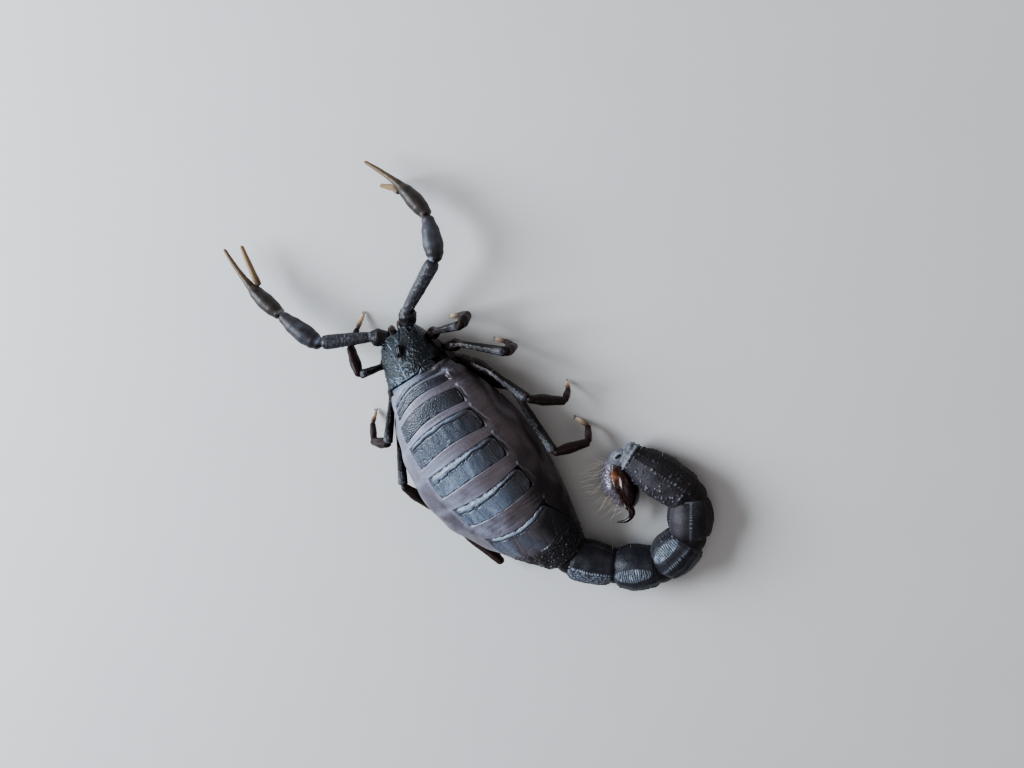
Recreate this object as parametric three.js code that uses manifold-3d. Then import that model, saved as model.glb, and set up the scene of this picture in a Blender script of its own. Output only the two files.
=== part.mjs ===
// A thick-tailed scorpion, a gravid female at rest: a still, life-size model.
// Millimetres. The animal stands on a floor at z = 0 with its head towards +Y, and +X is its right side.

import * as THREE from 'three';
import { mergeVertices } from 'three/addons/utils/BufferGeometryUtils.js';
import Module from 'manifold-3d';

const wasm = await Module();
wasm.setup();

// ---- Driving dimensions --------------------------------------------------------------------------

const GAP = 0.3; // clearance between one piece and the next
const FINENESS = 0.1; // smallest step kept in a surface

// The abdomen is an egg lying along Y. Each size is given at its front end, its widest place and its rear.
const ABDOMEN = {
  front: 15.3,
  widest: -1,
  rear: -20.9,
  halfWidth: [5.3, 10.5, 3.2],
  midline: [1.05, 0, 3.05], // how far the midline lies to the right
  girth: [7.3, 6.2, 4.9], // height at which it is widest
  rise: [4.0, 6.3, 3.3], // from there up to the back
  drop: [2.3, 6.8, 3.3], // from there down to the belly, before the floor flattens it
  taper: { ahead: 1, behind: 1.15 }, // how fast it narrows towards each end
  squareness: 2.3, // exponent of its section: 2 is an oval, and more is squarer
};

// The seven back plates (tergites), with the front edge and the length of each along the midline.
const TERGITES = {
  fronts: [15.2, 14.2, 11.6, 7.9, 2.0, -4.7, -12.0],
  lengths: [0.7, 1.4, 2.6, 3.8, 3.9, 3.8, 8.3],
  thickness: 0.55,
  cover: [0.86, 0.62], // share of the abdomen's width they span, at its ends and at its widest place
  lean: 0.5, // how far the widest of them sit to the right of the midline
  straight: 1, // where on Y they run straight across
  bend: 0.11, // how far their ends bend towards that place, per millimetre of distance from it
  rightEnds: { ahead: 7.9, straighter: 0.07 }, // ahead of there the right ends bend less, per millimetre
  bedReach: 2, // how far above the abdomen's outside their beds are cut
};

// The carapace, the shield over the head: each size at its rear edge and at its front edge.
const CARAPACE = {
  y: [15.6, 23.4],
  midline: [0.6, 1.3],
  halfWidth: [4.95, 3.6],
  top: [11.3, 6.7],
  rim: [7.0, 5.6], // height of its lower edge, where it is widest
  underside: [5.0, 5.0],
};

// The coxal plate, the joined bases of the legs under the head, in the same way.
const COXAE = {
  y: [9.6, 22.9],
  midline: [0.3, 1.3],
  halfWidth: [6.7, 2.9],
  top: [3.7, 4.7],
  rim: [2.2, 3.3],
  underside: [0.7, 1.9],
};

// How both shields are rounded: the front narrows by the share nose over the share noseLength of the
// length, and the lower an exponent of the section, the squarer it is there.
const SHIELD = { nose: 0.3, noseLength: 0.625, side: 0.8, crown: 0.85, flank: 0.3 };

const EYE = { radius: 0.38, spread: 0.46, y: 20.0, height: 9.72 };
const TUBERCLE = { halfWidth: 0.7, halfLength: 1.15, halfHeight: 0.8, height: 9.3 };
const CHELICERA = {
  spread: 0.95,
  from: [22.2, 4.6],
  to: [24.3, 3.3],
  shape: { near: 1.6, middle: 1.6, far: 1.1, tall: 1 },
};

// Limb segments: width at the near end, in the middle and at the far end, and height over width.
const LEG_SHAPES = [
  { name: 'trochanter', near: 1.3, middle: 1.75, far: 1.3, tall: 1.05 },
  { name: 'femur', near: 0.85, middle: 1.1, far: 1.15, tall: 1.5 },
  { name: 'patella', near: 0.85, middle: 1.4, far: 1.1, tall: 1.2 },
  { name: 'tibia', near: 0.75, middle: 1.0, far: 0.8, tall: 1.1 },
  { name: 'tarsus', near: 0.6, middle: 0.7, far: 0.55, tall: 1.1 },
];
const PALP_SHAPES = [
  { name: 'trochanter', near: 2.2, middle: 3.0, far: 2.3, tall: 0.95 },
  { name: 'femur', near: 1.6, middle: 2.0, far: 2.1, tall: 1.1 },
  { name: 'patella', near: 1.9, middle: 2.95, far: 2.4, tall: 1.1 },
  { name: 'hand', near: 1.5, middle: 2.5, far: 1.9, tall: 1.15 },
];
const SPINDLE = { middle: 0.45, shoulder: 0.72, shoulderDepth: 0.3 }; // a segment's widest place and caps
const FEMUR_ROOT = 0.4; // how deep a femur starts inside its trochanter, as a share of the joint's width

// The fingers: their widths, how far they bow outwards and upwards, and how far back in the hand, as a
// share of its length, the fixed one starts.
const FINGER = { fixedRoot: 1.35, movableRoot: 0.95, tip: 0.5, bow: 0.7, arch: 0.3, knuckle: 0.2 };

// Joints of each leg, from the hip over trochanter, knee and two lower joints to the foot.
const LEGS = {
  right: [
    [
      [4.6, 19.8, 4.0], [6.9, 19.5, 5.4], [11.7, 17.9, 8.6],
      [12.4, 18.7, 5.0], [10.4, 19.6, 2.4], [7.9, 20.5, 0.1],
    ],
    [
      [5.6, 17.2, 3.9], [9.2, 15.7, 6.3], [15.4, 10.7, 9.2],
      [15.3, 10.7, 4.8], [13.9, 12.1, 2.2], [11.8, 13.7, 0.1],
    ],
    [
      [6.3, 14.7, 3.3], [10.8, 9.9, 7.2], [13.9, 3.1, 9.2],
      [17.0, -0.4, 4.8], [17.7, 0.6, 2.6], [17.6, 2.0, 0.1],
    ],
    [
      [6.4, 12.1, 2.6], [11.25, 5.8, 4.4], [11.8, -5.8, 7.6],
      [16.0, -7.6, 4.0], [16.8, -5.6, 2.0], [15.1, -3.3, 0.1],
    ],
  ],
  left: [
    [
      [-2.3, 20.3, 4.0], [-3.9, 20.1, 5.6], [-6.8, 21.0, 8.0],
      [-6.5, 25.5, 5.2], [-5.1, 27.4, 2.4], [-3.2, 29.2, 0.1],
    ],
    [
      [-3.6, 17.4, 3.9], [-5.7, 15.1, 5.6], [-9.8, 9.8, 7.6],
      [-13.2, 11.5, 4.0], [-12.5, 14.0, 2.0], [-11.3, 15.7, 0.1],
    ],
    [
      [-4.6, 14.7, 3.3], [-8.7, 9.9, 4.6], [-12.0, 3.1, 7.2],
      [-11.1, -2.4, 4.6], [-11.8, 2.2, 1.6], [-11.6, 6.2, 0.1],
    ],
    [
      [-5.5, 12.1, 2.2], [-9.8, 6.3, 1.6], [-10.4, -6.0, 3.2],
      [-7.4, -15.8, 3.4], [-8.5, -10.5, 1.4], [-9.2, -6.0, 0.1],
    ],
  ],
};

// Joints of each pedipalp: base, trochanter, elbow, wrist, root of the fingers, tip of the fixed finger.
const PALPS = {
  right: [
    [3.5, 22.7, 4.8], [4.9, 24.7, 5.8], [14.0, 28.0, 8.0],
    [16.6, 34.2, 6.2], [14.8, 40.6, 4.6], [12.5, 47.0, 3.6],
  ],
  left: [
    [-0.4, 22.8, 4.8], [-2.2, 24.7, 6.0], [-9.2, 28.6, 7.4],
    [-12.5, 36.0, 6.4], [-13.8, 42.8, 5.0], [-15.2, 50.2, 4.0],
  ],
};
// Root and tip of the movable finger, which lies on the inner side of each claw.
const MOVABLE_FINGERS = {
  right: [[13.6, 40.1, 4.2], [11.2, 43.2, 0.9]],
  left: [[-12.6, 42.7, 5.0], [-12.2, 49.1, 4.0]],
};

// The tail lies curled to the left on the floor: its joints, and by how many degrees each segment is
// rolled over so that its upper side faces into the curl.
const TAIL_JOINTS = [
  [3.1, -20.7, 5.0], [7.6, -25.8, 3.6], [13.7, -29.5, 3.4],
  [20.2, -28.1, 3.5], [24.1, -22.8, 3.5], [19.5, -12.1, 3.4],
];
const TAIL_ROLLS = [-15, 10, 45, 75, 90];
const TAIL_SHAPES = [
  { near: 6.8, middle: 7.0, far: 6.9, tall: 0.92 },
  { near: 6.5, middle: 7.3, far: 7.0, tall: 0.96 },
  { near: 6.5, middle: 7.4, far: 7.1, tall: 0.97 },
  { near: 6.5, middle: 7.3, far: 6.8, tall: 0.97 },
  { near: 7.5, middle: 7.9, far: 4.6, tall: 0.88 },
];
const VESICLE = {
  from: [16.8, -12.0, 3.2],
  to: [14.5, -19.6, 3.2],
  shape: { near: 2.8, middle: 5.7, far: 2.2, tall: 0.95 },
};
const STING = {
  root: [15.3, -18.9, 3.2],
  bend: [14.5, -21.0, 3.2],
  tip: [11.8, -20.1, 3.2],
  thick: 1.5,
  thin: 0.5,
};

const COLOURS = {
  shell: 0x20262e,
  plate: 0x3a424e,
  flesh: 0x8f8089,
  leg: 0x2b1c19,
  claw: 0x6b4a30,
  telson: 0x3b1d17,
  eye: 0x050506,
};

// ---- Solids --------------------------------------------------------------------------------------

const UP = new THREE.Vector3(0, 0, 1);
const point = ([x, y, z]) => new THREE.Vector3(x, y, z);
const mix = ([from, to], t) => from + (to - from) * t;
const ease = (pair, t) => mix(pair, THREE.MathUtils.smoothstep(t, 0, 1));
const upTo = (count) => Array.from({ length: count + 1 }, (_, step) => step);
const anglesAround = (sides) => Array.from({ length: sides }, (_, side) => (2 * Math.PI * side) / sides);

/** A power of a number that keeps its sign. */
const signedPower = (value, exponent) => Math.sign(value) * Math.abs(value) ** exponent;

/** A closed solid of a three.js geometry: its doubled vertices are merged, its empty triangles dropped. */
function solid(geometry) {
  const bare = geometry.clone();
  bare.deleteAttribute('normal');
  bare.deleteAttribute('uv');
  const merged = mergeVertices(bare, 1e-4);
  const index = merged.index.array;
  const triangles = [];
  for (let i = 0; i < index.length; i += 3) {
    const [a, b, c] = index.slice(i, i + 3);
    if (a !== b && b !== c && c !== a) triangles.push(a, b, c);
  }
  const vertProperties = merged.attributes.position.array;
  const triVerts = new Uint32Array(triangles);
  return new wasm.Manifold(new wasm.Mesh({ numProp: 3, vertProperties, triVerts }));
}

/** A closed geometry over a row of rings with equal numbers of points, each end closed at its centre. */
function loft(rings) {
  const sides = rings[0].length;
  const last = rings.length - 1;
  const centre = (ring) => ring.reduce((sum, p) => sum.add(p), new THREE.Vector3()).divideScalar(sides);
  const points = [centre(rings[0]), ...rings.flat(), centre(rings[last])];
  const at = (ring, side) => 1 + ring * sides + (side % sides);
  const faces = [];
  for (let side = 0; side < sides; side++) {
    faces.push(0, at(0, side + 1), at(0, side));
    for (let ring = 0; ring < last; ring++) {
      faces.push(at(ring, side), at(ring, side + 1), at(ring + 1, side));
      faces.push(at(ring, side + 1), at(ring + 1, side + 1), at(ring + 1, side));
    }
    faces.push(points.length - 1, at(last, side), at(last, side + 1));
  }
  return new THREE.BufferGeometry().setFromPoints(points).setIndex(faces);
}

/** The frame of a limb segment: X runs from one joint to the next, Z is up, and roll turns it about X. */
function frameBetween(from, to, roll = 0) {
  const along = to.clone().sub(from).normalize();
  const side = UP.clone().cross(along).normalize();
  const frame = new THREE.Matrix4().makeBasis(along, side, along.clone().cross(side)).setPosition(from);
  return frame.multiply(new THREE.Matrix4().makeRotationX(roll));
}

/**
 * A limb segment between two joints: a turned spindle with a round cap at each end, as wide as shape says
 * at its near end, middle and far end, and shape.tall times as high as wide. grow makes it larger all
 * round, and a smaller blunt shortens the caps.
 */
function segment(from, to, shape, { grow = 0, sides = 8, steps = 2, roll = 0, blunt = 0.7 } = {}) {
  const length = from.distanceTo(to);
  const widthAt = (t) => (t < SPINDLE.middle
    ? ease([shape.near, shape.middle], t / SPINDLE.middle)
    : ease([shape.middle, shape.far], (t - SPINDLE.middle) / (1 - SPINDLE.middle)));
  const radiusAt = (t) => widthAt(t) / 2 + grow;
  const nearCap = (shape.near / 2) * blunt;
  const farCap = (shape.far / 2) * blunt;
  const { shoulder, shoulderDepth } = SPINDLE;
  const profile = [
    [0, -grow],
    [radiusAt(0) * shoulder, nearCap * shoulderDepth - grow],
    ...upTo(steps).map((step) => [
      radiusAt(step / steps),
      mix([nearCap - grow, length - farCap + grow], step / steps),
    ]),
    [radiusAt(1) * shoulder, length - farCap * shoulderDepth + grow],
    [0, length + grow],
  ];
  const outline = profile.map(([radius, along]) => new THREE.Vector2(radius, along));
  const spindle = new THREE.LatheGeometry(outline, sides, Math.PI / sides);
  spindle.rotateZ(-Math.PI / 2).scale(1, 1, shape.tall);
  return solid(spindle.applyMatrix4(frameBetween(from, to, roll)));
}

/** A curved, tapering horn through three points, as a finger or a sting is, thick at its root. */
function horn(root, bend, tip, thick, thin, { sides = 6, steps = 5 } = {}) {
  const curve = new THREE.QuadraticBezierCurve3(root, bend, tip);
  const { normals, binormals } = curve.computeFrenetFrames(steps);
  const rings = upTo(steps).map((step) => {
    const centre = curve.getPointAt(step / steps);
    const radius = mix([thick, thin], step / steps) / 2;
    return anglesAround(sides).map((angle) => centre.clone()
      .addScaledVector(normals[step], radius * Math.cos(angle))
      .addScaledVector(binormals[step], radius * Math.sin(angle)));
  });
  return solid(loft(rings));
}

/** A small ellipsoid at a place. */
function ellipsoid(place, halfWidth, halfLength, halfHeight) {
  const ball = new THREE.SphereGeometry(1, 10, 6).rotateX(Math.PI / 2);
  return solid(ball.scale(halfWidth, halfLength, halfHeight).translate(...place));
}

/** What is left of a solid when its neighbours' room is cut out of it. */
const cutBack = (body, ...rooms) => wasm.Manifold.difference([body, ...rooms]);

/** A solid's main body, its surface evened out to FINENESS, without any slivers that a cut left. */
function mainBody(body) {
  const bodies = body.simplify(FINENESS).decompose();
  return bodies.reduce((largest, other) => (other.volume() > largest.volume() ? other : largest));
}

/** The solid with all that reaches below the floor pressed flat onto it. */
const restOnFloor = (body) => body.warp((vertex) => {
  vertex[2] = Math.max(vertex[2], 0);
});

/** A named piece at its own place: its geometry is measured from there. */
function piece(name, body, place, color, roughness) {
  const { numProp, vertProperties, triVerts } = mainBody(body).getMesh();
  const geometry = new THREE.BufferGeometry();
  geometry.setAttribute('position', new THREE.BufferAttribute(vertProperties.slice(), numProp));
  geometry.setIndex(new THREE.BufferAttribute(triVerts.slice(), 1));
  geometry.translate(-place.x, -place.y, -place.z);
  geometry.computeVertexNormals();
  const mesh = new THREE.Mesh(geometry, new THREE.MeshStandardMaterial({ color, roughness, metalness: 0 }));
  mesh.name = name;
  mesh.position.copy(place);
  return mesh;
}

// ---- Abdomen and its back plates -----------------------------------------------------------------

/** How full the egg is at y: 1 at its widest place and 0 at its ends. It narrows faster to the rear. */
function fullness(y) {
  const ahead = y > ABDOMEN.widest;
  const end = ahead ? ABDOMEN.front : ABDOMEN.rear;
  const reach = (y - ABDOMEN.widest) / (end - ABDOMEN.widest);
  return Math.max(0, 1 - reach * reach) ** (ahead ? ABDOMEN.taper.ahead : ABDOMEN.taper.behind);
}

/** One of the abdomen's sizes at y, from its values at the front end, the widest place and the rear. */
const sizeAt = ([front, middle, rear], y) => mix([y > ABDOMEN.widest ? front : rear, middle], fullness(y));

/**
 * A point of the abdomen's outside. lateral runs from -1 at the left flank to 1 at the right one, above or
 * below the girth; the section is a slightly squared oval, and the belly is flat on the floor.
 */
function abdomenPoint(y, lateral, above, inset = 0) {
  const spread = Math.min(1, Math.abs(lateral));
  const height = (1 - spread ** ABDOMEN.squareness) ** (1 / ABDOMEN.squareness);
  const girth = sizeAt(ABDOMEN.girth, y);
  const back = girth + (sizeAt(ABDOMEN.rise, y) - inset) * height;
  const belly = Math.max(0, girth - sizeAt(ABDOMEN.drop, y) * height);
  const x = sizeAt(ABDOMEN.midline, y) + (sizeAt(ABDOMEN.halfWidth, y) - inset) * lateral;
  return new THREE.Vector3(x, y, above ? back : belly);
}

/** The whole abdomen, before its plates' beds are cut: rings that lie closer together towards its ends. */
function abdomenBody(grow = 0) {
  const sides = 22;
  const rows = 14;
  const rings = upTo(rows).map((row) => {
    const y = mix([ABDOMEN.front, ABDOMEN.rear], 0.5 - 0.5 * Math.cos((Math.PI * row) / rows));
    return anglesAround(sides).map((angle) => {
      const lateral = signedPower(Math.cos(angle), 2 / ABDOMEN.squareness);
      return abdomenPoint(y, lateral, angle < Math.PI, -grow);
    });
  });
  return solid(loft(rings));
}

/**
 * A back plate, flush with the abdomen's outside. The fuller the abdomen, the less of its width the plate
 * covers, and its ends bend towards the widest place, the right ones of the front plates less than the
 * left ones. grow is the margin of the bed that it lies in.
 */
function tergiteBody(number, grow = 0) {
  const front = TERGITES.fronts[number - 1] + grow;
  const length = TERGITES.lengths[number - 1] + 2 * grow;
  const { ahead, straighter } = TERGITES.rightEnds;
  const leftBend = TERGITES.bend * (front - TERGITES.straight);
  const rightBend = leftBend * (1 - straighter * Math.max(0, front - ahead));
  const columns = 8;
  const rows = number === TERGITES.fronts.length ? 5 : 2;
  const outside = grow > 0 ? -TERGITES.bedReach : 0;
  const at = (along, across, inset) => {
    const y = front - along * length - (across > 0 ? rightBend : leftBend) * across * across;
    const halfWidth = sizeAt(ABDOMEN.halfWidth, y);
    const cover = mix(TERGITES.cover, fullness(y)) + grow / halfWidth;
    const lean = (TERGITES.lean * fullness(y)) / halfWidth;
    return abdomenPoint(y, cover * across + lean, true, inset);
  };
  const rings = upTo(columns).map((column) => {
    const across = Math.sin(Math.PI * (0.5 - column / columns));
    const rearwards = upTo(rows).map((row) => row / rows);
    return [
      ...rearwards.toReversed().map((along) => at(along, across, outside)),
      ...rearwards.map((along) => at(along, across, TERGITES.thickness + grow)),
    ];
  });
  return solid(loft(rings));
}

// ---- Head ----------------------------------------------------------------------------------------

/** A domed shield along Y over a flatter underside: each size runs from its rear value to its front one. */
function shieldBody({ y, midline, halfWidth, top, rim, underside }, grow = 0) {
  const rows = 6;
  const sides = 16;
  const rings = upTo(rows).map((row) => {
    const forward = 1 - row / rows;
    const noseward = Math.max(0, 1 - row / rows / SHIELD.noseLength);
    const nose = 1 - SHIELD.nose * noseward ** 4;
    const edge = mix(rim, forward);
    const crown = mix(top, forward) * nose ** 0.5 - edge + grow;
    const keel = edge - mix(underside, forward) + grow;
    const halfSpan = mix(halfWidth, forward) * nose + grow;
    return anglesAround(sides).map((angle) => {
      const x = mix(midline, forward) + halfSpan * signedPower(Math.cos(angle), SHIELD.side);
      const height = Math.sin(angle);
      const z = height > 0 ? edge + crown * height ** SHIELD.crown : edge - keel * (-height) ** SHIELD.flank;
      return new THREE.Vector3(x, mix([y[0] - grow, y[1] + grow], forward), z);
    });
  });
  return solid(loft(rings));
}

const headRoom = shieldBody(COXAE, GAP).add(shieldBody(CARAPACE, GAP));
const midlineAt = (y) => mix(CARAPACE.midline, (y - CARAPACE.y[0]) / (CARAPACE.y[1] - CARAPACE.y[0]));

// ---- The animal ----------------------------------------------------------------------------------

const SIDES = { right: 1, left: -1 };
const animal = new THREE.Group();

function addTrunk() {
  const beds = TERGITES.fronts.map((_, index) => tergiteBody(index + 1, GAP));
  const abdomen = cutBack(abdomenBody(), shieldBody(COXAE, GAP), ...beds);
  animal.add(piece('abdomen', abdomen, new THREE.Vector3(0, 0, 0), COLOURS.flesh, 0.5));
  TERGITES.fronts.forEach((front, index) => {
    const place = new THREE.Vector3(sizeAt(ABDOMEN.midline, front), front, 0);
    animal.add(piece(`tergite_${index + 1}`, tergiteBody(index + 1), place, COLOURS.plate, 0.45));
  });
}

function addHead() {
  const head = new THREE.Group();
  const middle = midlineAt(EYE.y);
  const { halfWidth, halfLength, halfHeight, height } = TUBERCLE;
  const tubercle = ellipsoid([middle, EYE.y, height], halfWidth, halfLength, halfHeight);
  let carapace = shieldBody(CARAPACE).add(tubercle);
  for (const [name, side] of Object.entries(SIDES)) {
    const place = [middle + side * EYE.spread, EYE.y, EYE.height];
    const socket = EYE.radius + GAP / 2;
    carapace = carapace.subtract(ellipsoid(place, socket, socket, socket));
    const eye = ellipsoid(place, EYE.radius, EYE.radius, EYE.radius);
    head.add(piece(`eye_${name}`, eye, point(place), COLOURS.eye, 0.1));
    const x = midlineAt(CARAPACE.y[1]) + side * CHELICERA.spread;
    const from = new THREE.Vector3(x, ...CHELICERA.from);
    const jaw = segment(from, new THREE.Vector3(x, ...CHELICERA.to), CHELICERA.shape);
    head.add(piece(`chelicera_${name}`, cutBack(jaw, headRoom), from, COLOURS.leg, 0.4));
  }
  const neck = new THREE.Vector3(middle, CARAPACE.y[0], CARAPACE.underside[0]);
  head.add(piece('carapace', carapace, neck, COLOURS.shell, 0.5));
  const hips = new THREE.Vector3(middle, COXAE.y[0], 0);
  head.add(piece('coxal_plate', shieldBody(COXAE), hips, COLOURS.leg, 0.4));
  animal.add(head);
}

/**
 * The segments of a limb from its joints: each is cut back by GAP from the one before it, and the first
 * from the head. The trochanter is one piece with the femur, which starts inside it.
 */
function limbBodies(joints, shapes, sides) {
  const inside = (shapes[0].far * FEMUR_ROOT) / joints[1].distanceTo(joints[2]);
  const starts = joints.with(1, joints[1].clone().lerp(joints[2], -inside));
  const between = (index, grow) => segment(starts[index], joints[index + 1], shapes[index], { grow, sides });
  const bodies = shapes.map((_, index) => {
    const before = index === 0 ? headRoom : between(index - 1, GAP);
    return index === 1 ? between(index, 0) : cutBack(between(index, 0), before);
  });
  const [trochanter, femur, ...rest] = bodies;
  return [trochanter.add(femur), ...rest];
}

function addLegs() {
  for (const [side, legs] of Object.entries(LEGS)) {
    legs.forEach((places, index) => {
      const leg = new THREE.Group();
      const joints = places.map(point);
      limbBodies(joints, LEG_SHAPES, 8).forEach((body, part) => {
        const name = `leg_${side}_${index + 1}_${LEG_SHAPES[part + 1].name}`;
        leg.add(piece(name, restOnFloor(body), joints[part + 1], COLOURS.leg, 0.35));
      });
      animal.add(leg);
    });
  }
}

function addPalps() {
  for (const [side, places] of Object.entries(PALPS)) {
    const palp = new THREE.Group();
    const joints = places.map(point);
    const [femur, patella, palm] = limbBodies(joints, PALP_SHAPES, 10);
    const knuckle = joints[4].clone().lerp(joints[3], FINGER.knuckle);
    const [root, tip] = MOVABLE_FINGERS[side].map(point);
    const finger = (from, to, outward, thick, thin) => {
      const bow = new THREE.Vector3(SIDES[side] * outward * FINGER.bow, 0, FINGER.arch);
      return horn(from, from.clone().lerp(to, 0.5).add(bow), to, thick, thin);
    };
    const fixed = (grow) => finger(knuckle, joints[5], 1, FINGER.fixedRoot + 2 * grow, FINGER.tip + 2 * grow);
    const palmRoom = segment(joints[3], joints[4], PALP_SHAPES[3], { grow: GAP, sides: 10 });
    const movable = finger(root, tip, -1, FINGER.movableRoot, FINGER.tip);
    const parts = [
      ['femur', femur, joints[1], COLOURS.shell],
      ['patella', patella, joints[2], COLOURS.shell],
      ['hand', palm.add(fixed(0)), joints[3], COLOURS.claw],
      ['finger', cutBack(movable, palmRoom, fixed(GAP)), root, COLOURS.claw],
    ];
    for (const [name, body, place, colour] of parts) {
      palp.add(piece(`pedipalp_${side}_${name}`, body, place, colour, 0.4));
    }
    animal.add(palp);
  }
}

function addTail() {
  const tail = new THREE.Group();
  const joints = TAIL_JOINTS.map(point);
  const link = (index, grow) => segment(joints[index], joints[index + 1], TAIL_SHAPES[index], {
    grow, sides: 12, steps: 5, roll: THREE.MathUtils.degToRad(-TAIL_ROLLS[index]), blunt: 0.3,
  });
  const abdomenEnd = abdomenBody(GAP).translate(0, -GAP, 0);
  TAIL_SHAPES.forEach((_, index) => {
    const before = index === 0 ? abdomenEnd : link(index - 1, GAP);
    const body = restOnFloor(cutBack(link(index, 0), before));
    tail.add(piece(`tail_${index + 1}`, body, joints[index], COLOURS.shell, 0.45));
  });
  const from = point(VESICLE.from);
  const vesicle = segment(from, point(VESICLE.to), VESICLE.shape, { sides: 12, steps: 6 });
  const [root, bend, tip] = [STING.root, STING.bend, STING.tip].map(point);
  const sting = horn(root, bend, tip, STING.thick, STING.thin, { steps: 8 });
  const telson = cutBack(vesicle.add(sting), link(TAIL_SHAPES.length - 1, GAP));
  tail.add(piece('telson', telson, from, COLOURS.telson, 0.3));
  animal.add(tail);
}

addTrunk();
addHead();
addPalps();
addLegs();
addTail();

// The origin is on the floor, under the middle of the whole animal.
const scorpion = new THREE.Group();
scorpion.add(animal);
scorpion.updateMatrixWorld(true);
const middle = new THREE.Box3().setFromObject(animal, true).getCenter(new THREE.Vector3());
animal.position.set(-middle.x, -middle.y, 0);

export default scorpion;
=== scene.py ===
import bpy
import numpy as np
from mathutils import Matrix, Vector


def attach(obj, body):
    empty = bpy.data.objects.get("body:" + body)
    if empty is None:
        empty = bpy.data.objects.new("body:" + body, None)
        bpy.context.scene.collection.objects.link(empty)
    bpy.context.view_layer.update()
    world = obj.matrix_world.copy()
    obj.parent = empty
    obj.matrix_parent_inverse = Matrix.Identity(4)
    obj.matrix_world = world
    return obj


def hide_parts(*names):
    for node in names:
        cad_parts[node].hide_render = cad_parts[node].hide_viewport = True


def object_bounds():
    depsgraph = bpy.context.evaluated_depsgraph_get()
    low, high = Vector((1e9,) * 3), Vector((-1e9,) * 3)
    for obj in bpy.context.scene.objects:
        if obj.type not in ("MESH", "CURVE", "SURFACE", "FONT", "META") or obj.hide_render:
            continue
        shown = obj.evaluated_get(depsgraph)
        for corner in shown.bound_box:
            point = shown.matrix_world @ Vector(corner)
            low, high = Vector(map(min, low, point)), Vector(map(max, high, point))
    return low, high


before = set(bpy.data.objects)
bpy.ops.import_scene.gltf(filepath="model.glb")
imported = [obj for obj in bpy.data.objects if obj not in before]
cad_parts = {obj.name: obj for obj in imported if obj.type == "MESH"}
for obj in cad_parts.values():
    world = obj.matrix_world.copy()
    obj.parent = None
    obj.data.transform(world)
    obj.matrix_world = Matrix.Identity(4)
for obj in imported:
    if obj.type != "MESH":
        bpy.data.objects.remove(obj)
cad_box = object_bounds()


# ---- Floor, light and camera ---------------------------------------------------------------------
# The display floor is a plain pale sheet. One large cool window light comes from ahead of the animal and
# its left, a faint one from above and a weak warm fill from its right. The camera looks down on the back.

MIDDLE = np.array([5.582495, 8.898701, 0.0])  # the frame's origin, in the animal's own millimetres


def to_frame(points):
    """The animal's own millimetres as metres in the frame."""
    return (np.asarray(points, float) - MIDDLE) / 1000


def wire(material, kind, inputs=(), **settings):
    """A new shader node: settings are its properties, and inputs are values or the sockets that feed them."""
    made = material.node_tree.nodes.new("ShaderNode" + kind)
    for name, value in settings.items():
        setattr(made, name, value)
    for name, value in dict(inputs).items():
        if isinstance(value, bpy.types.NodeSocket):
            material.node_tree.links.new(value, made.inputs[name])
        else:
            made.inputs[name].default_value = value
    return made


def blank_material(name):
    """A material with nothing in it but its output, and that output node."""
    material = bpy.data.materials.new(name)
    material.use_nodes = True
    material.node_tree.nodes.clear()
    return material, material.node_tree.nodes.new("ShaderNodeOutputMaterial")


def add_object(name, data):
    """A new object in the scene, for some mesh, light or camera data."""
    made = bpy.data.objects.new(name, data)
    bpy.context.scene.collection.objects.link(made)
    return made


FLOOR_HALF = 0.6
floor_mesh = bpy.data.meshes.new("floor")
floor_corners = [(-FLOOR_HALF, -FLOOR_HALF, 0), (FLOOR_HALF, -FLOOR_HALF, 0),
                 (FLOOR_HALF, FLOOR_HALF, 0), (-FLOOR_HALF, FLOOR_HALF, 0)]
floor_mesh.from_pydata(floor_corners, [], [(0, 1, 2, 3)])
floor = add_object("floor", floor_mesh)
floor_material, floor_output = blank_material("pale_floor")
floor_place = wire(floor_material, "TexCoord")
floor_mottle = wire(floor_material, "TexNoise", {"Vector": floor_place.outputs["Object"], "Scale": 60.0})
floor_tone = wire(floor_material, "Mix", {0: floor_mottle.outputs["Fac"], 6: (0.60, 0.585, 0.575, 1),
                                          7: (0.63, 0.615, 0.605, 1)}, data_type="RGBA")
floor_surface = wire(floor_material, "BsdfPrincipled", {
    "Base Color": floor_tone.outputs[2], "Roughness": 0.7})
floor_material.node_tree.links.new(floor_surface.outputs["BSDF"], floor_output.inputs["Surface"])
floor_mesh.materials.append(floor_material)


def area_light(name, direction, distance, size, power, colour):
    """A soft, square light that stands off from the animal in a direction and shines on it."""
    data = bpy.data.lights.new(name, "AREA")
    data.size = size
    data.energy = power
    data.color = colour
    lamp = add_object(name, data)
    away = np.array(direction, float) / np.linalg.norm(direction)
    side = np.cross((0, 0, 1), away)
    side /= np.linalg.norm(side)
    turn = np.eye(4)
    turn[:3, :3] = np.stack([side, np.cross(away, side), away], 1)
    turn[:3, 3] = away * distance
    lamp.matrix_world = Matrix(turn.tolist())


area_light("window", (-0.66, 0.62, 0.62), 0.42, 0.28, 3.6, (0.82, 0.91, 1.0))
area_light("ceiling", (0.1, -0.25, 1.0), 0.6, 0.5, 0.5, (1.0, 0.97, 0.94))
area_light("warm_fill", (0.9, 0.1, 0.45), 0.5, 0.3, 0.2, (1.0, 0.80, 0.72))
world = bpy.data.worlds.new("studio")
world.use_nodes = True
world.node_tree.nodes["Background"].inputs["Color"].default_value = (0.80, 0.84, 0.90, 1)
world.node_tree.nodes["Background"].inputs["Strength"].default_value = 0.24
bpy.context.scene.world = world
bpy.context.scene.view_settings.look = "AgX - Medium High Contrast"

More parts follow.
